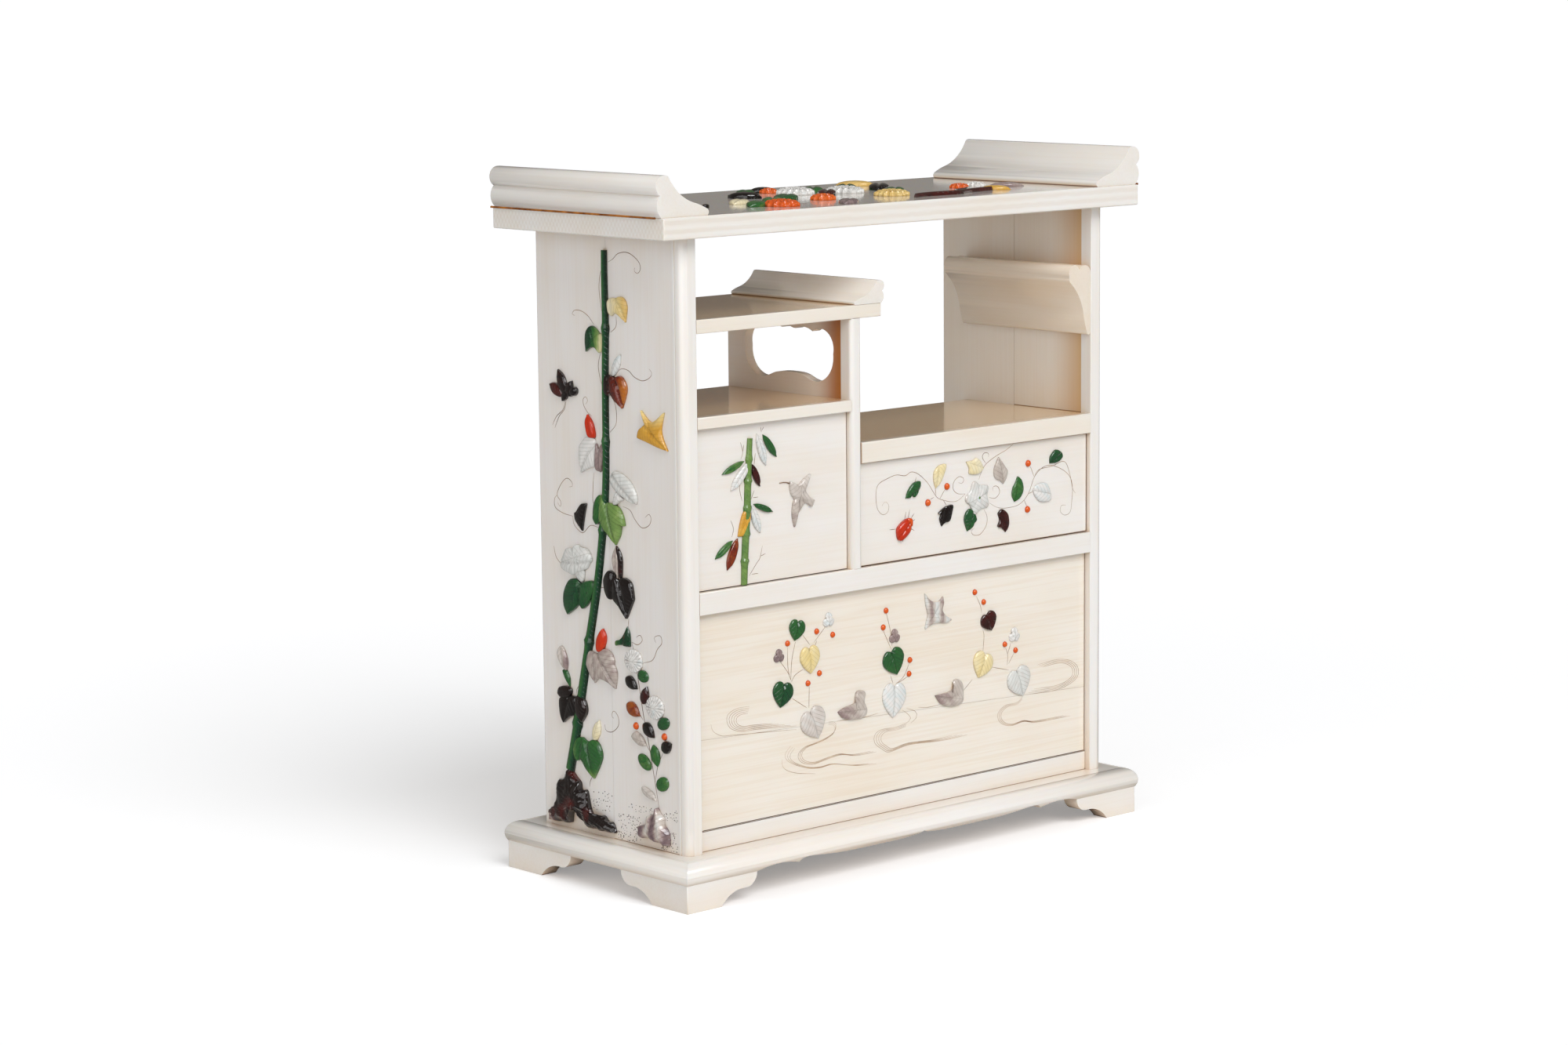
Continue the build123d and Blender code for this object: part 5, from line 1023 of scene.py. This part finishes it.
def top_ornament():
    green, pearl, dark, red, yellow, lines = (Inlay() for _ in range(6))
    for group, tip, butt, width, shade, rise in (
            (dark, (-31, 4), (-38.5, 16), 8.0, 0.08, 2.0), (yellow, (-64, -16), (-52, -9), 7.5, 0.9, 1.5),
            (green, (-69, -31), (-56, -25), 8.0, 0.5, 1.7), (green, (-38, -14), (-24, -6), 9.5, 0.4, 1.9),
            (green, (-50, -22), (-40, -13), 8.0, 0.55, 1.8), (green, (2, 10), (11, 19), 8.5, 0.5, 2.0),
            (dark, (-5.5, -5), (5, 3), 7.5, 0.5, 1.9), (dark, (32, 3), (43, 13), 8.5, 0.1, 2.1),
            (yellow, (43, 40), (52, 26), 9.0, 0.5, 1.7), (green, (25, 14), (34, 24), 8.0, 0.4, 1.8),
            (pearl, (-33, -46), (-21, -38), 7.5, 0.12, 1.5), (green, (-16, 28), (-26, 22), 7.5, 0.42, 1.7),
            (dark, (-12, 33), (-2, 27), 7.0, 0.1, 1.8), (green, (24, -14), (34, -6), 8.0, 0.5, 1.8),
            (yellow, (72, -34), (64, -24), 7.0, 0.4, 1.4), (pearl, (92, -22), (80, -14), 7.0, 0.2, 1.4)):
        far = Vector(tip).lerp(Vector(butt), 0.92)
        carve(group, almond(tip, butt, width, 0.5), rise, (0, 4), shade, count=48, rings=8,
            creases=((0.45, (tip, tuple(far))),))
    mum(red, (-56, -35), 13.0, 15.0, 0.62, 14, 20, 3.0)
    mum(pearl, (-5, 12.5), 15.0, 17.0, 0.86, 18, 0, 3.2)
    mum(pearl, (14.8, 4.6), 15.5, 17.0, 0.8, 18, 0, 3.0)
    mum(yellow, (15.2, -22.6), 14.5, 14.5, 0.55, 18, 0, 2.8)
    mum(red, (-7.5, 26), 7.5, 7.5, 0.66, 10, 0, 2.2)
    mum(red, (-20.5, -20.5), 10.5, 10.5, 0.7, 12, 0, 2.6)
    mum(red, (66, -10), 8.5, 8.0, 0.66, 12, 0, 2.0)
    mum(pearl, (77, -8), 9.5, 9.0, 0.85, 14, 0, 2.0)
    oval(dark, (-81, -19), 4.0, 2.6, 1.1, 20, 0.2)
    rod(dark, [(13, -38.6), (24, -36), (38, -36.6), (50, -33), (63.6, -31)], (1.6, 2.4, 2.2, 1.8, 1.2), 1.7,
        stations=40, shade=0.55)
    rod(dark, [(38, -36.6), (45, -29), (56, -24), (68, -15)], (1.8, 1.4, 1.0), 1.4, stations=30, shade=0.5)
    for line in ([(-48, -34), (-40, -30), (-28, -28)], [(-30, 10), (-20, 14), (-13, 14)],
                 [(22, 6), (30, 8)], [(40, 22), (34, 16)], [(8, -18), (2, -10), (0, -4)],
                 [(-81, -17.6), (-84, -12), (-80, -8), (-77, -11)]):
        scratch(lines, line, 0.35, 0.3)
    lay("top", top_panel, "case",
        ("carved_bone", green, "top_leaf_inlay"),
        ("carved_shell", pearl, "top_flower_inlay"),
        ("carved_tortoiseshell", dark),
        ("carved_coral", red),
        ("carved_horn", yellow),
        ("engraved_lines", lines))


def glue_seams():
    """Lines of old glue along the outer feet of the two scrolls on the top board."""
    seams = Inlay()
    for name, side, width in (("top_scroll_left", 0, 1.0), ("top_scroll_right", 1, 0.5)):
        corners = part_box(name)
        edge = corners[side].x / MM
        near, far = corners[0].y / MM + 0.8, corners[1].y / MM - 0.8
        rod(seams, [(edge, near), (edge, (near + far) / 2), (edge, far)], (width, width * 0.7, width), 0.5,
            stations=24)
    seams.piece("top_scroll_glue_seams", top_panel, glue, "case", "horn")


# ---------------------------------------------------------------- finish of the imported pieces
FINISHES = (
    (ivory_rail, ("mid_rail", "bottom_rail", "plinth_front_rail", "plinth_rear_rail", "foot_front_left",
                                "foot_front_right", "foot_rear_left", "foot_rear_right")),
    (ivory_depth, ("plinth_left_rail", "plinth_right_rail", "top_scroll_left", "top_scroll_right",
                                  "small_scroll", "partition")),
    (ivory_window, ("window_panel",)),
    (ivory_wall_scroll, ("wall_scroll",)),
    (ivory_wall, ("right_side_front_board", "right_side_rear_board")),
    (ivory_front, ("door", "drawer_front")),
    (ivory_cream, ("large_drawer_upper_front", "large_drawer_lower_front")),
    (ivory_side, ("left_side_front_board", "left_side_rear_board")),
    (ivory_post, ("left_post", "right_post", "divider_post")),
    (ivory_shelf, ("cupboard_shelf", "small_shelf", "right_shelf")),
    (ivory_top, ("top_board",)),
    (brass, ("door_pin_lower", "door_pin_upper")),
)


def finish_packed_pieces():
    """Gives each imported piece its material, and eases its sharp arrises as a polisher does."""
    chosen = {name: material for material, names in FINISHES for name in names}
    for name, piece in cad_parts.items():
        material = chosen.get(name, paulownia)
        for slot in piece.material_slots:
            slot.material = material
        if name in chosen and material is not brass:
            weld = piece.modifiers.new("joined", "WELD")
            weld.merge_threshold = 0.001 * MM
            eased = piece.modifiers.new("eased_arrises", "BEVEL")
            eased.width = 0.3 * MM
            eased.segments = 2
            eased.limit_method = "ANGLE"
            eased.angle_limit = math.radians(35)
            eased.harden_normals = True


# ---------------------------------------------------------------- studio
def stage_and_lights():
    floor_mesh = bpy.data.meshes.new("floor")
    floor_bm = bmesh.new()
    bmesh.ops.create_grid(floor_bm, x_segments=1, y_segments=1, size=40.0)
    floor_bm.to_mesh(floor_mesh)
    floor_bm.free()
    floor = bpy.data.objects.new("floor", floor_mesh)
    bpy.context.scene.collection.objects.link(floor)
    paper = bpy.data.materials.new("white_paper_floor")
    paper.use_nodes = True
    tree = paper.node_tree
    tree.nodes.clear()
    rays = add(tree, "LightPath")
    paper_white, mirrored_paper, camera_lift = (0.9, 0.9, 0.9, 1), (0.2, 0.19, 0.175, 1), 0.265
    # Mirrored in the polish, the sheet is darker, as the studio was beyond its edges.
    sheet = add(tree, "MixRGB", {"Fac": rays.outputs["Is Glossy Ray"], "Color1": paper_white,
        "Color2": mirrored_paper}).outputs["Color"]
    matt = add(tree, "BsdfDiffuse", {"Color": sheet}).outputs["BSDF"]
    lift = add(tree, "Math", {0: rays.outputs["Is Camera Ray"], 1: camera_lift},
        operation="MULTIPLY").outputs["Value"]
    glow = add(tree, "Emission", {"Color": (1, 1, 1, 1), "Strength": lift}).outputs["Emission"]
    both = add(tree, "AddShader", {0: matt, 1: glow}).outputs["Shader"]
    add(tree, "OutputMaterial", {"Surface": both})
    floor_mesh.materials.append(paper)

    for name, direction, strength, softness, colour in (
            ("key_softbox", (-0.12, -0.64, 0.60), 1.9, 38, (0.99, 1.0, 1.02)),
            ("fill_softbox", (-0.92, -0.34, 0.19), 0.85, 60, (1.0, 1.0, 1.01))):
        lamp = bpy.data.lights.new(name, "SUN")
        lamp.energy = strength
        lamp.angle = math.radians(softness)
        lamp.color = colour
        holder = bpy.data.objects.new(name, lamp)
        holder.rotation_euler = Vector(direction).to_track_quat("Z", "Y").to_euler()
        bpy.context.scene.collection.objects.link(holder)

    world = bpy.data.worlds.new("studio")
    bpy.context.scene.world = world
    world.use_nodes = True
    tree = world.node_tree
    tree.nodes.clear()
    rays = add(tree, "LightPath")
    # White to the camera, soft light for surfaces, and the dim studio that polished ivory mirrors.
    room = add(tree, "MixRGB", {"Fac": rays.outputs["Is Glossy Ray"], "Color1": (0.36, 0.36, 0.36, 1),
                                "Color2": (0.15, 0.135, 0.12, 1)}).outputs["Color"]
    colour = add(tree, "MixRGB", {"Fac": rays.outputs["Is Camera Ray"], "Color1": room,
                                  "Color2": (1, 1, 1, 1)}).outputs["Color"]
    background = add(tree, "Background", {"Color": colour, "Strength": 1.0}).outputs["Background"]
    add(tree, "OutputWorld", {"Surface": background})
    bpy.context.scene.view_settings.view_transform = "Standard"


def camera():
    """The camera at the photograph's viewpoint, as fitted to the corners of the cabinet."""
    place = Vector((-1.0657, -1.1405, 0.3668))
    yaw, dip, roll = (math.radians(angle) for angle in (42.40, 8.557, -0.516))
    ahead = Vector((math.sin(yaw) * math.cos(dip), math.cos(yaw) * math.cos(dip), -math.sin(dip)))
    level = Vector((math.cos(yaw), -math.sin(yaw), 0))
    upright = level.cross(ahead)
    right = math.cos(roll) * level + math.sin(roll) * upright
    up = right.cross(ahead)
    data = bpy.data.cameras.new("camera")
    data.sensor_width = 36.0
    data.lens = 88.88
    holder = bpy.data.objects.new("camera", data)
    holder.matrix_world = Matrix.Translation(place) @ Matrix((right, up, -ahead)).transposed().to_4x4()
    bpy.context.scene.collection.objects.link(holder)
    bpy.context.scene.camera = holder


camera()
stage_and_lights()
finish_packed_pieces()
side_ornament()
door_ornament()
drawer_ornament()
large_ornament()
top_ornament()
glue_seams()
